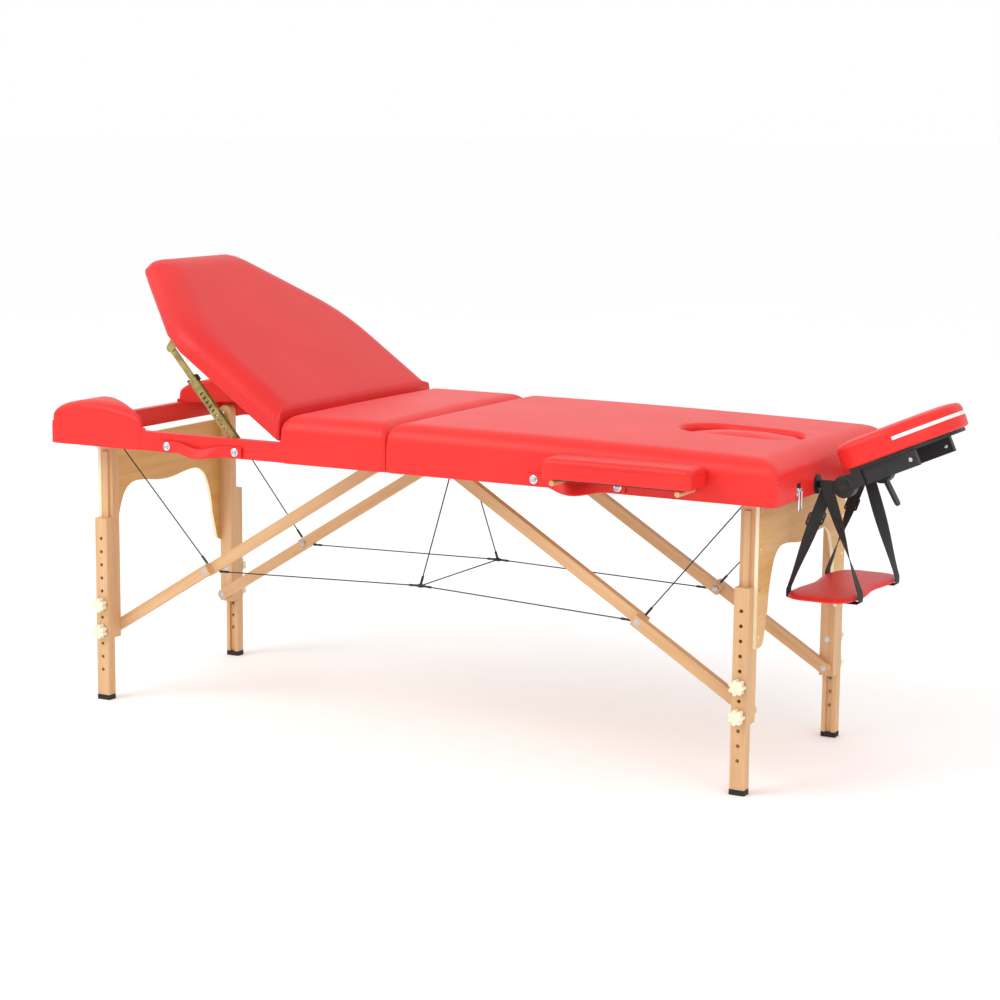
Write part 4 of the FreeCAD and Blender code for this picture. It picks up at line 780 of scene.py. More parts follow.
def dome(at: Sequence[float], way: Sequence[float], radius: float, rise: float) -> Shape:
    """Round head: a quarter sine dome on a short rim.

    Args:
        at: middle of its foot.
        way: direction it faces.
        radius: radius of the foot.
        rise: height of the dome.
    Returns:
        The head, sunk a little into what it sits on.
    """
    turn = np.linspace(0, np.pi / 2, 7)
    profile = [(0.0, -0.0002), (radius, -0.0002)]
    profile += [(radius * math.cos(t), rise * (0.25 + 0.75 * math.sin(t))) for t in turn]
    return lathe(profile, at, way)


def turn_y(angle: float) -> Array:
    """Matrix that turns +X towards +Z by an angle, about the Y axis."""
    c, s = math.cos(angle), math.sin(angle)
    return np.array([[c, 0, -s], [0, 1, 0], [s, 0, c]])


# Finishes by name


class Paint:
    """All materials of the table, made once."""

    def __init__(self) -> None:
        """Builds each finish."""
        self.vinyl = Vinyl("red_vinyl").material()
        # The backrest gets a darker copy of the red vinyl: painted shade for its tilted face, which gets less
        # light.
        self.back = Vinyl("backrest_vinyl_painted_shade", rgb(212, 38, 36), rgb(206, 35, 34)).material()
        self.stripe = StripedVinyl("striped_vinyl").material()
        self.leg = Wood("beech_upright").material()
        self.brace = {}
        for side, sign in ((Side.LEFT, -1), (Side.RIGHT, 1)):
            grain = (BRACE_DIR[0], 0.0, sign * BRACE_DIR[1])
            self.brace[side] = Wood(f"beech_{side.value}_brace", grain).material()
        self.across = Wood("beech_across", (0.0, 1.0, 0.0)).material()
        self.dowel = BoardAndDowel("armrest_frame", (0.0, 1.0, 0.0)).material()
        self.panel = EdgedBoard(
            "veneer_panel", way=(0.0, 1.0, 0.0), colour=rgb(216, 170, 100), dark=rgb(196, 146, 78),
            fleck=0.10, roughness=0.36, wrap=rgb(240, 226, 192), face=(1.0, 0.0, 0.0)).material()
        deck = {"way": (1.0, 0.0, 0.0), "colour": rgb(206, 172, 126), "dark": rgb(184, 146, 100),
                "fleck": 0.15, "roughness": 0.6}
        self.deck = EdgedBoard("plywood_deck", **deck).material()
        lean = (math.sin(BACKREST_TILT), 0.0, math.cos(BACKREST_TILT))
        self.back_deck = EdgedBoard("backrest_deck", **deck, face=lean).material()
        self.zinc = Metal("zinc_steel").material()
        self.gold = Metal("gold_zinc", rgb(178, 158, 104), rgb(140, 122, 78), 0.35).material()
        self.chrome = Metal("bright_chrome", rgb(226, 228, 232), rgb(210, 213, 220), 0.10).material()
        self.black = Plastic("black_plastic").material()
        self.cable = Plastic("black_cable", rgb(20, 20, 22), rgb(38, 38, 40), 0.35, 1800.0).material()
        self.rubber = Plastic("black_rubber", rgb(22, 22, 22), rgb(40, 40, 40), 0.7).material()
        self.cream = Plastic("cream_plastic", rgb(236, 226, 200), rgb(226, 212, 180), 0.32, 400.0).material()
        self.web = Webbing("black_webbing").material()


# Sub-assemblies


@dataclass
class FrameDress:
    """Finishes and rounded edges of the frame's own nodes that stay in view."""

    bevel: float = 0.0010
    rounded: tuple[str, ...] = ("cross_rails", "foot", "cradle_frame", "cradle_lever")

    def dress(self, paint: Paint) -> None:
        """Gives every shown node its material and welds its triangles; those named in rounded also get
        rounded edges.

        Args:
            paint: the finishes.
        """
        wood = {f"{s.value}_{n}_braces": paint.brace[s] for s in Side for n in ("upper", "lower")}
        for name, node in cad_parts.items():
            if node.hide_render:
                continue
            chosen = wood.get(name) or self.finish(name, paint)
            node.data.materials.clear()
            node.data.materials.append(chosen)
            weld = node.modifiers.new("weld", "WELD")
            weld.merge_threshold = 0.00002
            if not name.endswith(self.rounded):
                continue
            rounding = node.modifiers.new("bevel", "BEVEL")
            rounding.width = self.bevel
            rounding.segments = 2
            rounding.limit_method = "ANGLE"
            rounding.angle_limit = math.radians(38)
            rounding.use_clamp_overlap = True

    def finish(self, name: str, paint: Paint) -> bpy.types.Material:
        """Material of a node, by its name.

        Args:
            name: the node's name.
            paint: the finishes.
        Returns:
            The finish of the first key that the name holds, else black plastic.
        """
        table = (("bolts", paint.zinc), ("knobs", paint.cream), ("foot", paint.rubber), ("legs", paint.leg),
                 ("lower_leg", paint.leg), ("end_panel", paint.panel), ("armrest_frame", paint.dowel),
                 ("rails", paint.vinyl), ("backrest_board", paint.back_deck), ("board", paint.deck),
                 ("strut_collars", paint.black), ("strut", paint.gold), ("backrest_fittings", paint.gold),
                 ("half_fittings", paint.chrome), ("latch", paint.chrome), ("pins", paint.zinc),
                 ("cables", paint.cable))
        for key, material in table:
            if key in name:
                return material
        return paint.black


@dataclass
class Covers:
    """The soft covers of both halves; the skin of each goes over its rail to the rail's lower edge."""

    skin: float = 0.0013
    seam_out: float = 0.0002
    seam_in: float = 0.013
    seam_span: tuple[float, float] = (0.002, 0.046)
    brace_room: float = 0.004
    ridge: float = 0.045
    crown: float = 0.004
    fall: float = 0.013
    round_side: tuple[float, float] = (0.046, 0.042)
    round_seam: tuple[float, float] = (0.036, 0.034)
    round_end: tuple[float, float] = (0.056, 0.044)
    seat: tuple[float, float] = (-0.2787, -0.0007)
    right: tuple[float, float] = (0.0007, 0.9303)
    hole: tuple[float, float, float] = (0.710, 0.282, 0.150)
    corner_profile: Plan = ((0.0, 0.032), (0.10, 0.042), (0.25, 0.051), (0.42, 0.054), (0.60, 0.051),
                            (0.80, 0.041), (1.0, 0.024))
    corner: tuple[float, float, float] = (-0.9303, 0.162, -0.655)

    def crowned(self, span: tuple[float, float], fall: float) -> Callable[[Array, Array], Array]:
        """Height of a slab pad's top, raised across by a parabola and along by a flatter one.

        Args:
            span: the pad's two ends along X.
            fall: how much lower the last end lies, as a parabola along X.
        Returns:
            The function that gives the height at plan points.
        """
        middle, half = sum(span) / 2, (span[1] - span[0]) / 2

        def height(x: Array, y: Array) -> Array:
            """Top height at plan points."""
            across = np.clip(1 - (y / HALF_WIDTH) ** 2, 0, 1)
            raised = self.crown * across * np.clip(1 - ((x - middle) / half) ** 4, 0, 1)
            return PAD_TOP + raised - fall * np.clip((x - span[0]) / (2 * half), 0, 1) ** 2

        return height

    def slab(self, span: tuple[float, float], first: tuple[float, float], last: tuple[float, float],
             hems: Sequence[float], fall: float = 0.0,
             hole: tuple[float, float, float] | None = None) -> Shape:
        """Pad across the table.

        Args:
            span: its two ends along X.
            first: reach and drop of the rounding at the first end.
            last: the same at the last end.
            hems: height of the skin's lower edge at the two ends.
            fall: how much lower the top lies at the last end.
            hole: middle, length and width of a face hole.
        Returns:
            The closed cover.
        """
        x0, x1 = span
        y = HALF_WIDTH + self.skin
        spread = y - self.ridge
        middle = (x0 + x1) / 2
        spine = (middle, middle, 0.0) if x1 - x0 < spread else (x0 + spread, x1 - spread, 0.0)
        return PadForm(
            corners=((x0, -y), (x1, -y), (x1, y), (x0, y)), radii=(0.010, 0.012, 0.012, 0.010),
            reach=(self.round_side[0], last[0], self.round_side[0], first[0]),
            drop=(self.round_side[1], last[1], self.round_side[1], first[1]),
            hem=(FRAME_Z, hems[1], FRAME_Z, hems[0]), under=(0.010, 0.006, 0.010, 0.006),
            drawn=(0.0004, 0.0, 0.0004, 0.0), height=self.crowned(span, fall), floor=PAD_BOTTOM,
            spine=spine, hole=hole, per_edge=64).shape()

    def corner_shape(self) -> Shape:
        """Near corner pad: a mound over a triangle, its height a smooth curve along X.

        Returns:
            The closed cover.
        """
        x0, y0, x1 = self.corner
        y = HALF_WIDTH + self.skin
        table = np.asarray(self.corner_profile)

        def height(x: Array, _: Array) -> Array:
            """Mound height along X, by linear steps smoothed over a short window."""
            share = np.clip((x - x0) / (x1 - x0), 0, 1)
            shifts = np.linspace(-0.05, 0.05, 9)[:, None]
            return PAD_BOTTOM + np.interp(np.clip(share + shifts, 0, 1), table[:, 0], table[:, 1]).mean(0)

        inside = ((x0 * 2 + x1) / 3, -(2 * y + y0) / 3)
        return PadForm(
            corners=((x0, -y), (x1, -y), (x0, -y0)), radii=(0.012, 0.006, 0.008), reach=(0.034, 0.026, 0.030),
            drop=(0.018, 0.014, 0.024), hem=(FRAME_Z, RAIL_TOP, FRAME_Z), under=(0.010, 0.002, 0.006),
            drawn=(0.0, 0.002, 0.0), height=height, floor=PAD_BOTTOM - 0.002,
            spine=(inside[0], inside[0], inside[1]), ripple=0.0008).shape()

    def corner_seam(self, x: float, low: float, high: float) -> Shape:
        """Stitched seam up a near corner, which leans back by a parabola over the rounding.

        Args:
            x: its place along the table.
            low: height of its foot.
            high: height of its top.
        Returns:
            A thin tube whose radius waves with the stitches.
        """
        count = 60
        rise = np.linspace(0, 1, count)
        back = 0.010 * np.clip((rise - 0.55) / 0.45, 0, 1) ** 2
        side = back - HALF_WIDTH - self.skin - self.seam_out
        path = np.column_stack([np.full(count, x), side, low + (high - low) * rise])
        return tube(path, 0.0009 + 0.0003 * np.cos(np.arange(count) * 1.9), 8)

    def build(self, paint: Paint) -> list[Obj]:
        """Seat, right and corner covers with their seams.

        Args:
            paint: the finishes.
        Returns:
            The pieces made.
        """
        made = []
        low, high = FRAME_Z + self.seam_span[0], PAD_TOP - self.seam_span[1]
        seams = (("seat_seam", self.seat[1], "left_half"), ("right_seam", self.right[1], "right_half"))
        for name, end, body in seams:
            seam = piece(name, self.corner_seam(end - self.seam_in, low, high), paint.vinyl)
            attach(seam, body)
            made.append(seam)
        hems = (RAIL_TOP + self.brace_room, RAIL_TOP)
        seat = piece("seat_cover", self.slab(self.seat, self.round_seam, self.round_seam, hems), paint.vinyl)
        hems = (RAIL_TOP, FRAME_Z)
        slab = self.slab(self.right, self.round_seam, self.round_end, hems, self.fall, self.hole)
        right = piece("right_cover", slab, paint.vinyl)
        near = self.corner_shape()
        corners = piece("corner_covers", joined([near, near.mirrored()]), paint.vinyl)
        for cover, node, body in ((seat, "seat_pad", "left_half"), (right, "right_pad", "right_half"),
                                  (corners, "corner_pads", "left_half")):
            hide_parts(node)
            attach(cover, body)
            made.append(cover)
        return made


@dataclass
class FacePlug:
    """Cushion that fills the face hole."""

    x: float = 0.710
    size: tuple[float, float] = (0.277, 0.145)
    top: float = 0.7320
    reach: float = 0.026
    drop: float = 0.016
    crown: float = 0.0095

    def build(self, paint: Paint) -> list[Obj]:
        """Oval pad: a rounded wall swept round a stadium, with a slight crown.

        Args:
            paint: the finishes.
        Returns:
            The pieces made.
        """
        count = 160
        angle = np.linspace(0, 2 * np.pi, count, endpoint=False)
        length, width = self.size

        def ring(long: float, wide: float, z: float, share: float = 1.0) -> Array:
            """Oval of a length and a width, scaled by a share, at a height."""
            return np.column_stack([stadium(angle, long, wide) * share, np.full(count, z)])

        rows = [ring(length * s, width * s, PAD_BOTTOM) for s in (0.0, 0.6, 0.97)]
        rows.append(ring(length, width, PAD_BOTTOM + 0.003))
        for turn in np.radians(np.linspace(0, 90, 10)):
            out = 2 * self.reach * (1 - math.cos(turn))
            rows.append(ring(length - out, width - out, self.top - self.drop * (1 - math.sin(turn))))
        flat = 2 * self.reach
        for share in np.linspace(1, 0, 12)[1:]:
            rows.append(ring(length - flat, width - flat, self.top + self.crown * (1 - share ** 2), share))
        plug = piece("face_plug_cover", grid_shape(np.stack(rows)).moved((self.x, 0, 0)), paint.vinyl)
        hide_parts("face_plug")
        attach(plug, "face_plug")
        return [plug]


@dataclass
class Backrest:
    """Raised backrest cushion, built flat and turned up about its hinge."""

    length: float = 0.633
    shoulder: float = 0.368
    end_half: float = 0.156
    skin: float = 0.0008
    start: float = 0.006
    hinge_zone: float = 0.100
    crown: float = 0.004

    def build(self, paint: Paint) -> list[Obj]:
        """Six-sided pad whose hinge end is cut back so that it meets the seat when raised.

        Args:
            paint: the finishes.
        Returns:
            The pieces made.
        """
        x, z = BACKREST
        y, end = HALF_WIDTH + self.skin, x - self.length - self.skin
        waist = x - self.shoulder
        near_side = ((end, -self.end_half), (waist, -y), (x - self.start, -y))
        plan = near_side + tuple((along, -across) for along, across in near_side[::-1])
        middle = (end + x) / 2

        def height(px: Array, py: Array) -> Array:
            """Top with a crown that falls to all sides."""
            across, along = 1 - (py / y) ** 2, 1 - ((px - middle) / 0.33) ** 4
            return PAD_TOP + 0.0003 + self.crown * np.clip(across, 0, 1) * np.clip(along, 0, 1)

        hem = RAIL_TOP + 0.0018
        flat = PadForm(corners=plan, radii=(0.050, 0.200, 0.010, 0.010, 0.200, 0.050), core_share=1.5,
                       reach=(0.078, 0.056, 0.012, 0.056, 0.078, 0.085),
                       drop=(0.050, 0.046, 0.008, 0.046, 0.050, 0.054),
                       hem=(hem,) * 6, under=(0.010, 0.010, 0.002, 0.010, 0.010, 0.010),
                       drawn=(0.0,) * 6, height=height, floor=0.6905,
                       spine=(end + 0.20, x - 0.36, 0.0), bulge=0.002).shape()
        away = x - flat.points[:, 0]
        least = np.maximum(self.start, (flat.points[:, 2] - z) * math.tan(BACKREST_TILT) + 0.0012)
        share = (away - self.start) / (self.hinge_zone - self.start)
        flat.points[:, 0] = x - np.where(share < 1, least + share * (self.hinge_zone - least), away)
        raised = flat.turned(turn_y(-BACKREST_TILT), (x, 0, z))
        # paint.back is the red vinyl darkened as painted shade for the raised backrest.
        cover = piece("backrest_cover", raised, paint.back)
        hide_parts("backrest_pad")
        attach(cover, "backrest")
        return [cover]


@dataclass
class Armrest:
    """Cushions of the two side armrests, with the stitched seam along the top edge of the side band."""

    span: tuple[float, float] = (0.434, 0.776)
    depth: tuple[float, float] = (0.3525, 0.4425)
    low: float = 0.670
    top: float = 0.714
    crown: float = 0.002
    corner: float = 0.012

    def build(self, paint: Paint) -> list[Obj]:
        """Two padded slabs.

        Args:
            paint: the finishes.
        Returns:
            The pieces made.
        """
        (x0, x1), (y0, y1) = self.span, self.depth
        middle = (x0 + x1) / 2, -(y0 + y1) / 2

        def height(x: Array, y: Array) -> Array:
            """Low crown."""
            across, along = 1 - ((y - middle[1]) / 0.05) ** 2, 1 - ((x - middle[0]) / 0.19) ** 4
            return self.top + self.crown * across * np.clip(along, 0, 1)

        plan = ((x0, -y1), (x1, -y1), (x1, -y0), (x0, -y0))
        near = PadForm(corners=plan, radii=(self.corner,) * 4, reach=(0.014,) * 4, drop=(0.012,) * 4,
                       hem=(self.low + 0.0014,) * 4, under=(0.008,) * 4, drawn=(0.0015,) * 4,
                       height=height, floor=self.low + 0.0004,
                       spine=(x0 + 0.05, x1 - 0.05, middle[1]), ripple=0.0008, bulge=0.0015)
        shape = near.shape()
        seam = self.seam(plan)
        made = []
        for name, one, line in (("near", shape, seam), ("far", shape.mirrored(), seam.mirrored())):
            pad = piece(f"{name}_armrest_cover", one, paint.vinyl)
            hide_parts(f"{name}_armrest_pad")
            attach(pad, f"{name}_armrest")
            thread = piece(f"{name}_armrest_seam", line, paint.vinyl)
            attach(thread, f"{name}_armrest")
            made += [pad, thread]
        return made

    def seam(self, plan: Plan) -> Shape:
        """Welt round the pad just under its top edge: a thin tube on the outline of its plan.

        Args:
            plan: corners of the pad.
        Returns:
            The tube.
        """
        loop = outline(plan, (self.corner,) * 4, 40).points
        path = np.column_stack([loop, np.full(len(loop), self.top - 0.0115)])
        return tube(np.vstack([path, path[:1]]), 0.0011, 8)


@dataclass
class FaceCradle:
    """Horseshoe cushion on the tilted platform, with its seam, and the ribbed discs of the hubs."""

    half: float = 0.048
    mid_y: float = 0.097
    limb: float = 0.051
    centre: float = 0.108
    low: float = 0.0303
    thick: float = 0.059
    corner: float = 0.014
    crown: float = 0.004
    rivet: tuple[float, float] = (0.158, 0.005)
    arm_faces: Plan = ((-0.128, -1), (-0.112, 1), (0.112, -1), (0.128, 1))

    def loop(self) -> tuple[Array, Array]:
        """Path and outward normals of a walk round the horseshoe's edge, outer side first.

        Returns:
            Points of the middle line and unit normals.
        """
        per_limb, per_tip = 24, 20
        run = self.centre - self.limb
        step = np.linspace(0, 1, per_limb)
        spread = np.linspace(-np.pi / 2, np.pi / 2, 64)
        arc = np.column_stack([self.centre + self.mid_y * np.cos(spread), self.mid_y * np.sin(spread)])
        near = np.column_stack([self.limb + run * step, np.full(per_limb, -self.mid_y)])
        far = near[::-1] * (1, -1)
        outer_way = np.column_stack([np.cos(spread), np.sin(spread)])
        down, up = np.tile((0.0, -1.0), (per_limb, 1)), np.tile((0.0, 1.0), (per_limb, 1))
        tip = np.linspace(np.pi / 2, 3 * np.pi / 2, per_tip + 2)[1:-1]
        tip_way = np.column_stack([np.cos(tip), np.sin(tip)])
        path = np.vstack([near, arc[1:-1], far, np.tile(far[-1], (per_tip, 1)),
                          far[::-1], arc[1:-1][::-1], near[::-1], np.tile(near[0], (per_tip, 1))])
        way = np.vstack([down, outer_way[1:-1], up, tip_way, down, -outer_way[1:-1][::-1], up, tip_way])
        return path, way

    def placed(self, grid: Array) -> Array:
        """Points of (along, across, rise) turned up about the hub."""
        return grid @ turn_y(CRADLE_TILT).T + (HUB_X, 0, POST_Z)

    def build(self, paint: Paint) -> list[Obj]:
        """Cushion by rows: underside, swelling wall, quarter round edge, crown to the middle line.

        Args:
            paint: the finishes.
        Returns:
            The pieces made.
        """
        path, way = self.loop()
        top = self.low + self.thick - self.crown
        offsets = [(0.0, self.low), (self.half - 0.008, self.low), (self.half - 0.002, self.low + 0.0015)]
        for share in np.linspace(0, 1, 9):
            swell = 0.001 * math.sin(math.pi * share)
            offsets.append((self.half + swell, self.low + 0.004 + (self.thick - 0.022) * share))
        for turn in np.radians(np.linspace(0, 90, 9))[1:]:
            drawn, sunk = self.corner * (1 - math.cos(turn)), self.corner * (1 - math.sin(turn))
            offsets.append((self.half - drawn, top - sunk))
        for share in np.linspace(1, 0, 9)[1:]:
            offsets.append(((self.half - self.corner) * share, top + self.crown * (1 - share ** 2)))

        def ring(out: float, rise: float) -> Array:
            """Walk round the horseshoe at a distance from its middle line and a height."""
            return self.placed(np.column_stack([path + way * out, np.full(len(path), rise)]))

        grid = np.stack([ring(out, rise) for out, rise in offsets])
        cushion = piece("face_cushion_cover", grid_shape(grid), paint.stripe)
        self.mark_outer(cushion)
        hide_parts("face_cushion")
        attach(cushion, "cradle")
        rim = ring(self.half + 0.0002, top - self.corner)
        seam = piece("face_cushion_seam", tube(np.vstack([rim, rim[:1]]), 0.0011, 8), paint.vinyl)
        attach(seam, "cradle")
        return [cushion, seam, self.hub_discs(paint), self.rivets(paint)]

    def mark_outer(self, cushion: Obj) -> None:
        """Writes the attribute that is 1 on the outer wall, where the normal points away from the middle.

        Args:
            cushion: the horseshoe's cover.
        """
        mesh = cushion.data
        normals = np.empty(len(mesh.vertices) * 3)
        mesh.vertices.foreach_get("normal", normals)
        local = (coordinates(cushion) - (HUB_X, 0, POST_Z)) @ turn_y(CRADLE_TILT)
        away = local[:, :2] - (self.centre, 0)
        away[:, 0] = np.maximum(away[:, 0], 0)
        away = away / np.maximum(np.linalg.norm(away, axis=1), 1e-9)[:, None]
        facing = ((normals.reshape(-1, 3) @ turn_y(CRADLE_TILT))[:, :2] * away).sum(1)
        mark = mesh.attributes.new("outer", "FLOAT", "POINT")
        mark.data.foreach_set("value", np.clip(facing, 0, 1).astype(np.float32))

    def rivets(self, paint: Paint) -> Obj:
        """Rivet heads on both faces of each arm, near its end.

        Args:
            paint: the finishes.
        Returns:
            The piece of four heads.
        """
        heads = []
        along, rise = self.rivet
        for y, way in self.arm_faces:
            at = self.placed(np.array([(along, y, rise)]))[0]
            heads.append(dome(at, (0, way, 0), 0.0048, 0.0026))
        made = piece("arm_rivets", joined(heads), paint.zinc)
        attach(made, "cradle")
        return made

    def hub_discs(self, paint: Paint) -> Obj:
        """Ribbed faces on the outside of both hubs: a disc whose height waves with the angle.

        Args:
            paint: the finishes.
        Returns:
            The piece of two discs.
        """
        angle = np.linspace(0, 2 * np.pi, 120, endpoint=False)
        profile = ((0.0, 0.0, 0), (0.0225, 0.0, 0), (0.0225, 0.0010, 0), (0.0205, 0.0022, 0.0008),
                   (0.0125, 0.0022, 0.0008), (0.0115, 0.0016, 0), (0.0080, 0.0016, 0), (0.0070, 0.0030, 0),
                   (0.0, 0.0032, 0))
        rows = []
        for radius, rise, rib in profile:
            out = -(rise + rib * np.cos(30 * angle))
            rows.append(np.column_stack([radius * np.cos(angle), out, radius * np.sin(angle)]))
        disc = grid_shape(np.stack(rows)).moved((HUB_X, -POST_Y - 0.0141, POST_Z))
        discs = piece("hub_discs", joined([disc, disc.mirrored()]), paint.black)
        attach(discs, "cradle")
        return discs


@dataclass
class Sling:
    """Arm sling: a padded shelf with piping, on two webbing loops with buckles."""

    x: float = 0.956
    z: float = 0.409
    thick: float = 0.015
    reach: float = 0.185
    half: float = 0.082
    waist: float = 0.068
    width: float = 0.028
    web: float = 0.0016
    edge: float = 0.0814
    over_post: float = 0.0091

    def shelf(self) -> tuple[Shape, Shape]:
        """Pillow over a waisted plan, and the piping round it.

        Returns:
            The pillow, whose plan shrinks by a power of the cosine as it rises, and the piping tube.
        """
        turn = np.linspace(0, 2 * np.pi, 200, endpoint=False)
        y = self.reach * np.sign(np.sin(turn)) * np.abs(np.sin(turn)) ** 0.8
        wide = self.half - (self.half - self.waist) * np.cos(np.clip(np.abs(y) / 0.12, 0, 1) * np.pi / 2) ** 2
        x = wide * np.sign(np.cos(turn)) * np.abs(np.cos(turn)) ** 0.4
        plan = np.column_stack([x + self.x, y, np.full(len(turn), self.z + self.thick / 2)])
        middle = np.array([self.x, 0, self.z + self.thick / 2])
        rows = [middle + (plan - middle) * math.cos(t) ** 0.25 + (0, 0, self.thick / 2 * math.sin(t))
                for t in np.radians(np.linspace(-90, 90, 25))]
        rim = np.vstack([plan, plan[:1]])
        rim = middle + (rim - middle) * (1.004, 1.004, 1)
        return grid_shape(np.stack(rows)), tube(rim, 0.0020, 8)

    def strap(self) -> Shape:
        """Near webbing loop: over the post, down in a quarter twist to the shelf's two edges and under it.

        Returns:
            The loop as one band.
        """
        ring, low = self.over_post, self.z - 0.0003 - self.web / 2
        edge, y, out = self.edge, -POST_Y, -1.0
        bend = np.linspace(0, np.pi, 17)
        over = np.full(len(bend), self.x)
        top = np.column_stack([over, y + ring * np.cos(bend), POST_Z + ring * np.sin(bend)])
        top_wide = np.tile((1.0, 0.0, 0.0), (len(bend), 1))
        share = np.linspace(0, 1, 26)[1:-1]
        twist = np.pi / 2 * share * share * (3 - 2 * share)

        def leg(side: float, sign: float) -> tuple[Array, Array]:
            """Middle line and width direction of one leg, from the post down."""
            start = np.array([self.x, y + sign * ring, POST_Z])
            end = np.array([self.x + side * edge, y, self.z + self.thick + 0.001])
            wide = np.column_stack([np.cos(twist), sign * np.sin(twist), np.zeros(len(twist))])
            drop = np.linspace(end[2], low + 0.003, 4)
            fall = np.column_stack([np.full(len(drop), end[0]), np.full(len(drop), y), drop])
            path = np.vstack([start + (end - start) * share[:, None], fall])
            return path, np.vstack([wide, np.tile((0.0, sign, 0.0), (len(drop), 1))])

        front, front_wide = leg(1.0, out)
        back, back_wide = leg(-1.0, -out)
        run = np.linspace(edge - 0.003, 0.003 - edge, 16)
        under = np.column_stack([self.x + run, np.full(len(run), y), np.full(len(run), low)])
        under_wide = np.tile((0.0, out, 0.0), (len(run), 1))
        path = np.vstack([top, front, under, back[::-1], top[:1] + (0, 0, -0.001)])
        wide = np.vstack([top_wide, front_wide, under_wide, -back_wide[::-1], -top_wide[:1]])
        half, thin = self.width / 2, self.web / 2
        across = np.linspace(-half, half, 9)
        section = np.vstack([np.column_stack([across, np.full(len(across), thin)]),
                             np.column_stack([across[::-1], np.full(len(across), -thin)])])
        return band(path, wide, section)

    def buckle(self, share: float = 0.33) -> Shape:
        """Three-bar slide on the near loop's inner leg: a frame tube round the webbing with a middle bar.

        Args:
            share: its place down the leg, from 0 at the post to 1 at the shelf.
        Returns:
            Its tubes.
        """
        start = np.array([self.x, -POST_Y + self.over_post, POST_Z])
        end = np.array([self.x - self.edge, -POST_Y, self.z + self.thick + 0.001])
        at = start + (end - start) * share
        down = (end - start) / np.linalg.norm(end - start)
        turn = np.pi / 2 * share * share * (3 - 2 * share)
        wide = np.array([math.cos(turn), math.sin(turn), 0.0])
        long, tall = 0.017, 0.013
        loop = outline(((-long, -tall), (long, -tall), (long, tall), (-long, tall)), (0.003,) * 4, 6).points
        rim = at + loop[:, :1] * wide + loop[:, 1:] * down
        bar = at + np.linspace(-long, long, 5)[:, None] * wide
        return joined([tube(np.vstack([rim, rim[:1]]), 0.0022, 8), tube(bar, 0.0022, 8)])

    def build(self, paint: Paint) -> list[Obj]:
        """Shelf, piping, straps and buckles.

        Args:
            paint: the finishes.
        Returns:
            The pieces made.
        """
        pillow, piping = self.shelf()
        shelf = piece("sling_shelf_cover", pillow, paint.vinyl)
        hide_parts("sling_shelf")
        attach(shelf, "sling")
        trim = piece("sling_piping", piping, paint.vinyl)
        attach(trim, "sling")
        near = self.strap()
        straps = piece("sling_webbing", joined([near, near.mirrored()]), paint.web, 60)
        self.weave(straps)
        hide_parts("sling_straps")
        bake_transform(straps)
        slide = self.buckle()
        buckles = piece("sling_buckles", joined([slide, slide.mirrored()]), paint.black)
        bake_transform(buckles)
        return [shelf, trim, straps, buckles]

    def weave(self, straps: Obj) -> None:
        """UV of the webbing: height down the strap by distance across it.

        Args:
            straps: the webbing.
        """
        mesh = straps.data
        index = np.empty(len(mesh.loops), int)
        mesh.loops.foreach_get("vertex_index", index)
        at = coordinates(straps)[index]
        layer = mesh.uv_layers.new(name="weave")
        weave = np.column_stack([at[:, 0] + at[:, 1], at[:, 2] + at[:, 0]])
        layer.data.foreach_set("uv", weave.astype(np.float32).ravel())


@dataclass
class Handle:
    """Carry strap with lengthwise ridges, between two screws in the near rail."""

    side: Side
    screws: tuple[float, float]
    droop: float
    z: float = 0.652
    tab: float = 0.018
    height: float = 0.026
    thick: float = 0.005
    bow: float = 0.019
    twist: float = math.radians(40)
    off_rail: float = 0.0016
    cup: Plan = ((0, 0.0), (0.0098, 0.0), (0.0098, 0.0008), (0.0072, 0.0026), (0.0056, 0.0014), (0, 0.0014))

    def section(self) -> Array:
        """Section of the strap: a flat back and a face with rounded ridges.

        Returns:
            The section's points.
        """
        count = 41
        across = np.linspace(-1, 1, count)
        face = self.thick / 2 - 0.0007 + 0.0007 * np.cos(across * 4 * np.pi)
        edge = np.clip((1 - np.abs(across)) / 0.10, 0, 1) ** 0.5
        out = np.column_stack([across * self.height / 2, face * edge])
        rear = np.full(count, -self.thick / 2) * np.maximum(edge, 0.4)
        back = np.column_stack([across[::-1] * self.height / 2, rear])
        return np.vstack([out, back])

    def build(self, paint: Paint) -> list[Obj]:
        """Strap that bows out, droops and twists by a squared sine between its tabs, and its screws.

        Args:
            paint: the finishes.
        Returns:
            The pieces made.
        """
        a, b = self.screws
        count = 90
        x = np.linspace(a - self.tab, b + self.tab, count)
        share = np.clip((x - a - self.tab) / (b - a - 2 * self.tab), 0, 1)
        swell = np.sin(np.pi * share) ** 2
        middle = -HALF_WIDTH - self.off_rail - self.thick / 2
        path = np.column_stack([x, middle - self.bow * swell, self.z - self.droop * swell])
        turn = self.twist * swell
        wide = np.column_stack([np.zeros(count), -np.sin(turn), -np.cos(turn)])
        strap = piece(f"{self.side.value}_handle", band(path, wide, self.section()), paint.vinyl, 50)
        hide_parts(f"{self.side.value}_carry_handle")
        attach(strap, f"{self.side.value}_half")
        face = middle - self.thick / 2
        cups, heads = [], []
        for at in (a, b):
            cups.append(lathe(self.cup, (at, face, self.z), (0, -1, 0), 32))
            heads.append(dome((at, face - 0.0014, self.z), (0, -1, 0), 0.0052, 0.0036))
        washers = piece(f"{self.side.value}_handle_cups", joined(cups), paint.chrome)
        screws = piece(f"{self.side.value}_handle_screws", joined(heads), paint.zinc)
        for part, slot in ((washers, "bright_chrome"), (screws, "zinc_steel")):
            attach(part, f"{self.side.value}_half")
        return [strap, washers, screws]


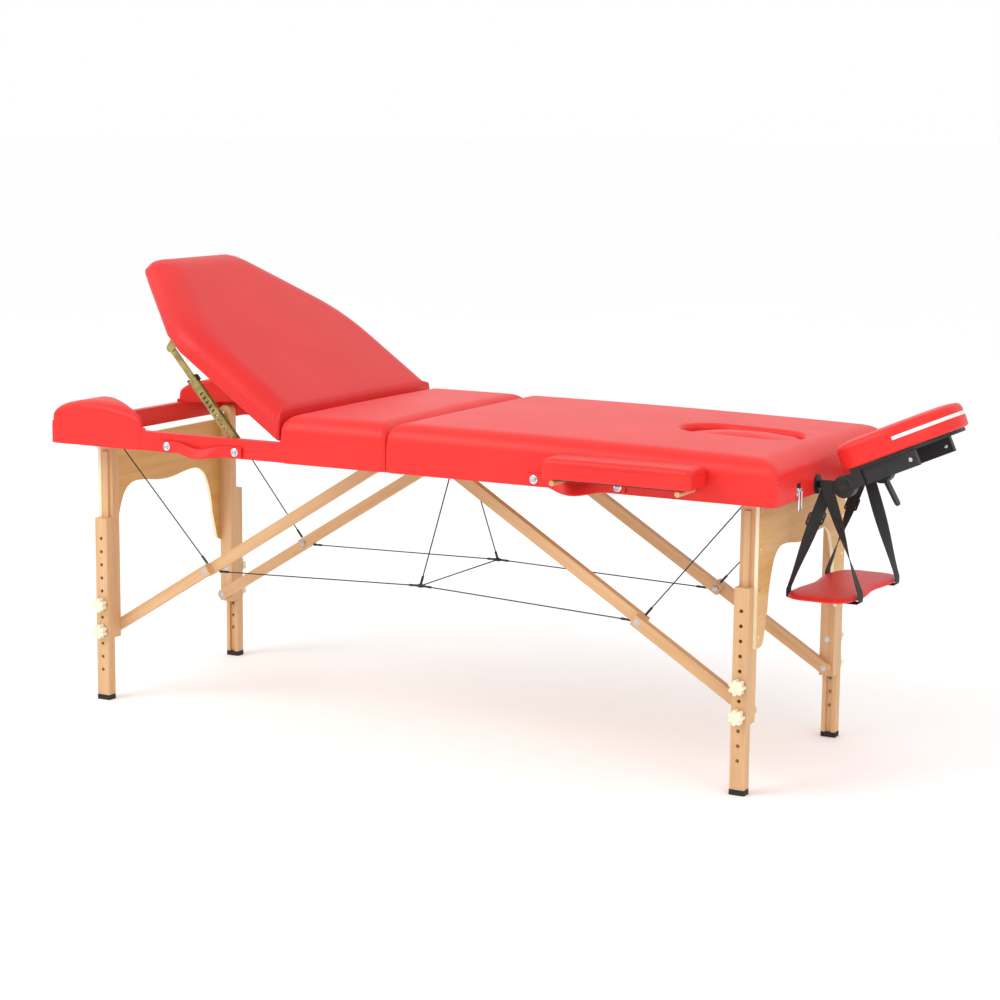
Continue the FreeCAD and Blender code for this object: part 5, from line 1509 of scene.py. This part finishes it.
@dataclass
class Cables:
    """Black stay cables of one end, with thicker braided sleeves."""

    side: Side
    y: float = 0.2105
    leg_pivot: tuple[float, float, float] = (0.835, 0.233, 0.6467)
    clip: tuple[float, float, float] = (0.0048, 0.190, 0.352)
    off_brace: float = 0.0163
    past_knee: float = 0.022

    def one(self, start: Array, end: Array) -> Shape:
        """Taut cable.

        Args:
            start: its first end.
            end: its last end.
        Returns:
            A thin straight tube that swells to a ribbed sleeve at both ends.
        """
        length = np.linalg.norm(end - start)
        walk = np.linspace(0, 1, 160)
        to_end = np.minimum(walk, 1 - walk) * length
        sleeve = np.clip((0.025 - to_end) / 0.002, 0, 1)
        radius = 0.0015 + sleeve * (0.0014 + 0.0003 * np.cos(to_end * 2 * np.pi / 0.004))
        return tube(start + (end - start) * walk[:, None], radius, 10)

    def build(self, paint: Paint) -> list[Obj]:
        """Stay from the leg pivot to the knee and run from the knee to the middle clip, on both sides.

        Args:
            paint: the finishes.
        Returns:
            The pieces made.
        """
        way = np.array([BRACE_DIR[0], 0, BRACE_DIR[1]])
        normal = np.array([-BRACE_DIR[1], 0, BRACE_DIR[0]])
        knee = np.array([KNEE[0], self.y, KNEE[1]])
        stay = self.one(np.array(self.leg_pivot), knee + normal * self.off_brace)
        run = self.one(knee - way * self.past_knee - normal * self.off_brace, np.array(self.clip))
        both = joined([stay, run, stay.mirrored(), run.mirrored()])
        if self.side is Side.LEFT:
            both = Shape(both.points * (-1, 1, 1), both.quads)
        name = self.side.value
        made = piece(f"{name}_stay_cables", both, paint.cable, 70)
        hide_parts(f"{name}_cables")
        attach(made, f"{name}_half")
        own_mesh(made)
        return [made]


@dataclass
class Trim:
    """Small fittings: panel screws, knee nuts and latch rivets."""

    panel_x: float = 0.860
    screw_y: float = 0.252
    screw_z: Sequence[float] = (0.612, 0.528, 0.441, 0.340)
    nut_y: float = 0.2008
    nut: Plan = ((0, 0.0), (0.0078, 0.0), (0.0078, 0.0034), (0.0066, 0.0042), (0, 0.0042))
    latch: tuple[float, float, float] = (0.932, 0.230, 0.013)
    rivet_apart: float = 0.006

    def build(self, paint: Paint) -> list[Obj]:
        """Screw domes and knee nuts of both ends, and the latch rivets.

        Args:
            paint: the finishes.
        Returns:
            The pieces made.
        """
        made = []
        for side, sign in ((Side.LEFT, -1), (Side.RIGHT, 1)):
            heads = [dome((sign * self.panel_x, y, z), (sign, 0, 0), 0.0034, 0.0003)
                     for y in (-self.screw_y, self.screw_y) for z in self.screw_z]
            screws = piece(f"{side.value}_panel_screws", joined(heads), paint.chrome)
            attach(screws, f"{side.value}_legs")
            made.append(screws)
            nuts = piece(f"{side.value}_knee_nuts", self.knee_nuts(sign), paint.zinc)
            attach(nuts, f"{side.value}_lower_braces")
            made.append(nuts)
        x, out, rise = self.latch
        heads = [dome((x, y + dy, FRAME_Z + rise), (1, 0, 0), 0.0026, 0.0014)
                 for y in (-out, out) for dy in (-self.rivet_apart, self.rivet_apart)]
        rivets = piece("latch_rivets", joined(heads), paint.chrome)
        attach(rivets, "right_half")
        return made + [rivets]

    def knee_nuts(self, sign: float) -> Shape:
        """Hexagon nuts with the round bolt end in them, on the inner faces of one end's two knees.

        Args:
            sign: -1 for the left end, 1 for the right.
        Returns:
            Both nuts.
        """
        (x, z), y = KNEE, self.nut_y
        shapes = []
        for side in (-1, 1):
            at, way = (sign * x, side * y, z), (0, -side, 0)
            shapes.append(lathe(self.nut, at, way, 6))
            shapes.append(dome((sign * x, side * (y - 0.0040), z), way, 0.0036, 0.0022))
        return joined(shapes)


@dataclass
class Studio:
    """Pale floor, soft light and the photo's camera."""

    eye: tuple[float, float, float] = (2.6841 + SHIFT_X, -4.8788, 1.4346)
    yaw: float = math.radians(27.866)
    pitch: float = math.radians(9.26)
    roll: float = 0.0102
    lens: float = 85.96

    def floor(self) -> Obj:
        """Large flat pale sheet.

        Returns:
            The sheet.
        """
        x = np.linspace(-60, 60, 30)
        y = np.linspace(-20, 100, 30)
        gx, gy = np.meshgrid(x, y)
        grid = np.stack([gx, gy, np.zeros_like(gx)], -1)
        shader = Shader("pale_floor")
        tone = shader.noise(shader.place(), 0.8, 2.0)
        shader.set(Base_Color=shader.mix(tone, rgb(255, 255, 255), rgb(253, 253, 253)), Roughness=0.7,
                   Specular_IOR_Level=0.2)
        mesh = bpy.data.meshes.new("floor")
        made = grid_shape(grid, wrap_cols=False)
        mesh.from_pydata(made.points.tolist(), [], made.quads.tolist())
        mesh.materials.append(shader.material)
        sheet = bpy.data.objects.new("floor", mesh)
        bpy.context.scene.collection.objects.link(sheet)
        return sheet

    def light(self, name: str, at: Sequence[float], size: float, power: float) -> None:
        """Square soft light aimed at the table's middle.

        Args:
            name: its name.
            at: its place.
            size: side of the square.
            power: watts.
        """
        lamp = bpy.data.lights.new(name, "AREA")
        lamp.size = size
        lamp.energy = power
        made = bpy.data.objects.new(name, lamp)
        aim = np.array((0.0, 0.0, 0.5)) - np.asarray(at)
        flat = math.hypot(aim[0], aim[1])
        made.location = at
        made.rotation_euler = (math.atan2(flat, -aim[2]), 0.0, math.atan2(aim[1], aim[0]) - math.pi / 2)
        bpy.context.scene.collection.objects.link(made)

    def build(self) -> None:
        """Sets world, lights, floor and camera."""
        scene = bpy.context.scene
        scene.world = scene.world or bpy.data.worlds.new("studio")
        scene.world.use_nodes = True
        sky = scene.world.node_tree.nodes["Background"]
        sky.inputs["Color"].default_value = (1.0, 1.0, 1.0, 1.0)
        sky.inputs["Strength"].default_value = 1.0
        self.light("key", (-2.6, -3.6, 4.2), 3.2, 120.0)
        self.light("fill", (4.0, -3.0, 3.0), 3.0, 50.0)
        self.floor()
        scene.view_settings.view_transform = "Standard"
        eye = bpy.data.cameras.new("camera")
        eye.lens = self.lens
        eye.sensor_width = 36.0
        camera = bpy.data.objects.new("camera", eye)
        turn = Matrix.Rotation(self.yaw, 4, "Z") @ Matrix.Rotation(math.pi / 2 - self.pitch, 4, "X")
        camera.matrix_world = Matrix.Translation(self.eye) @ turn @ Matrix.Rotation(self.roll, 4, "Z")
        scene.collection.objects.link(camera)
        scene.camera = camera


def main() -> None:
    """Builds the pieces in order, then the studio."""
    logging.basicConfig(level=logging.INFO)
    paint = Paint()
    parts = [Covers(), FacePlug(), Backrest(), Armrest(), FaceCradle(), Sling(),
             Handle(Side.LEFT, (-0.590, -0.400), 0.009), Handle(Side.RIGHT, (0.374, 0.573), 0.014),
             Cables(Side.LEFT), Cables(Side.RIGHT), Trim()]
    for part in parts:
        for made in part.build(paint):
            LOG.info("%s: %d faces", made.name, len(made.data.polygons))
    FrameDress().dress(paint)
    Studio().build()


if __name__ == "__main__":
    main()
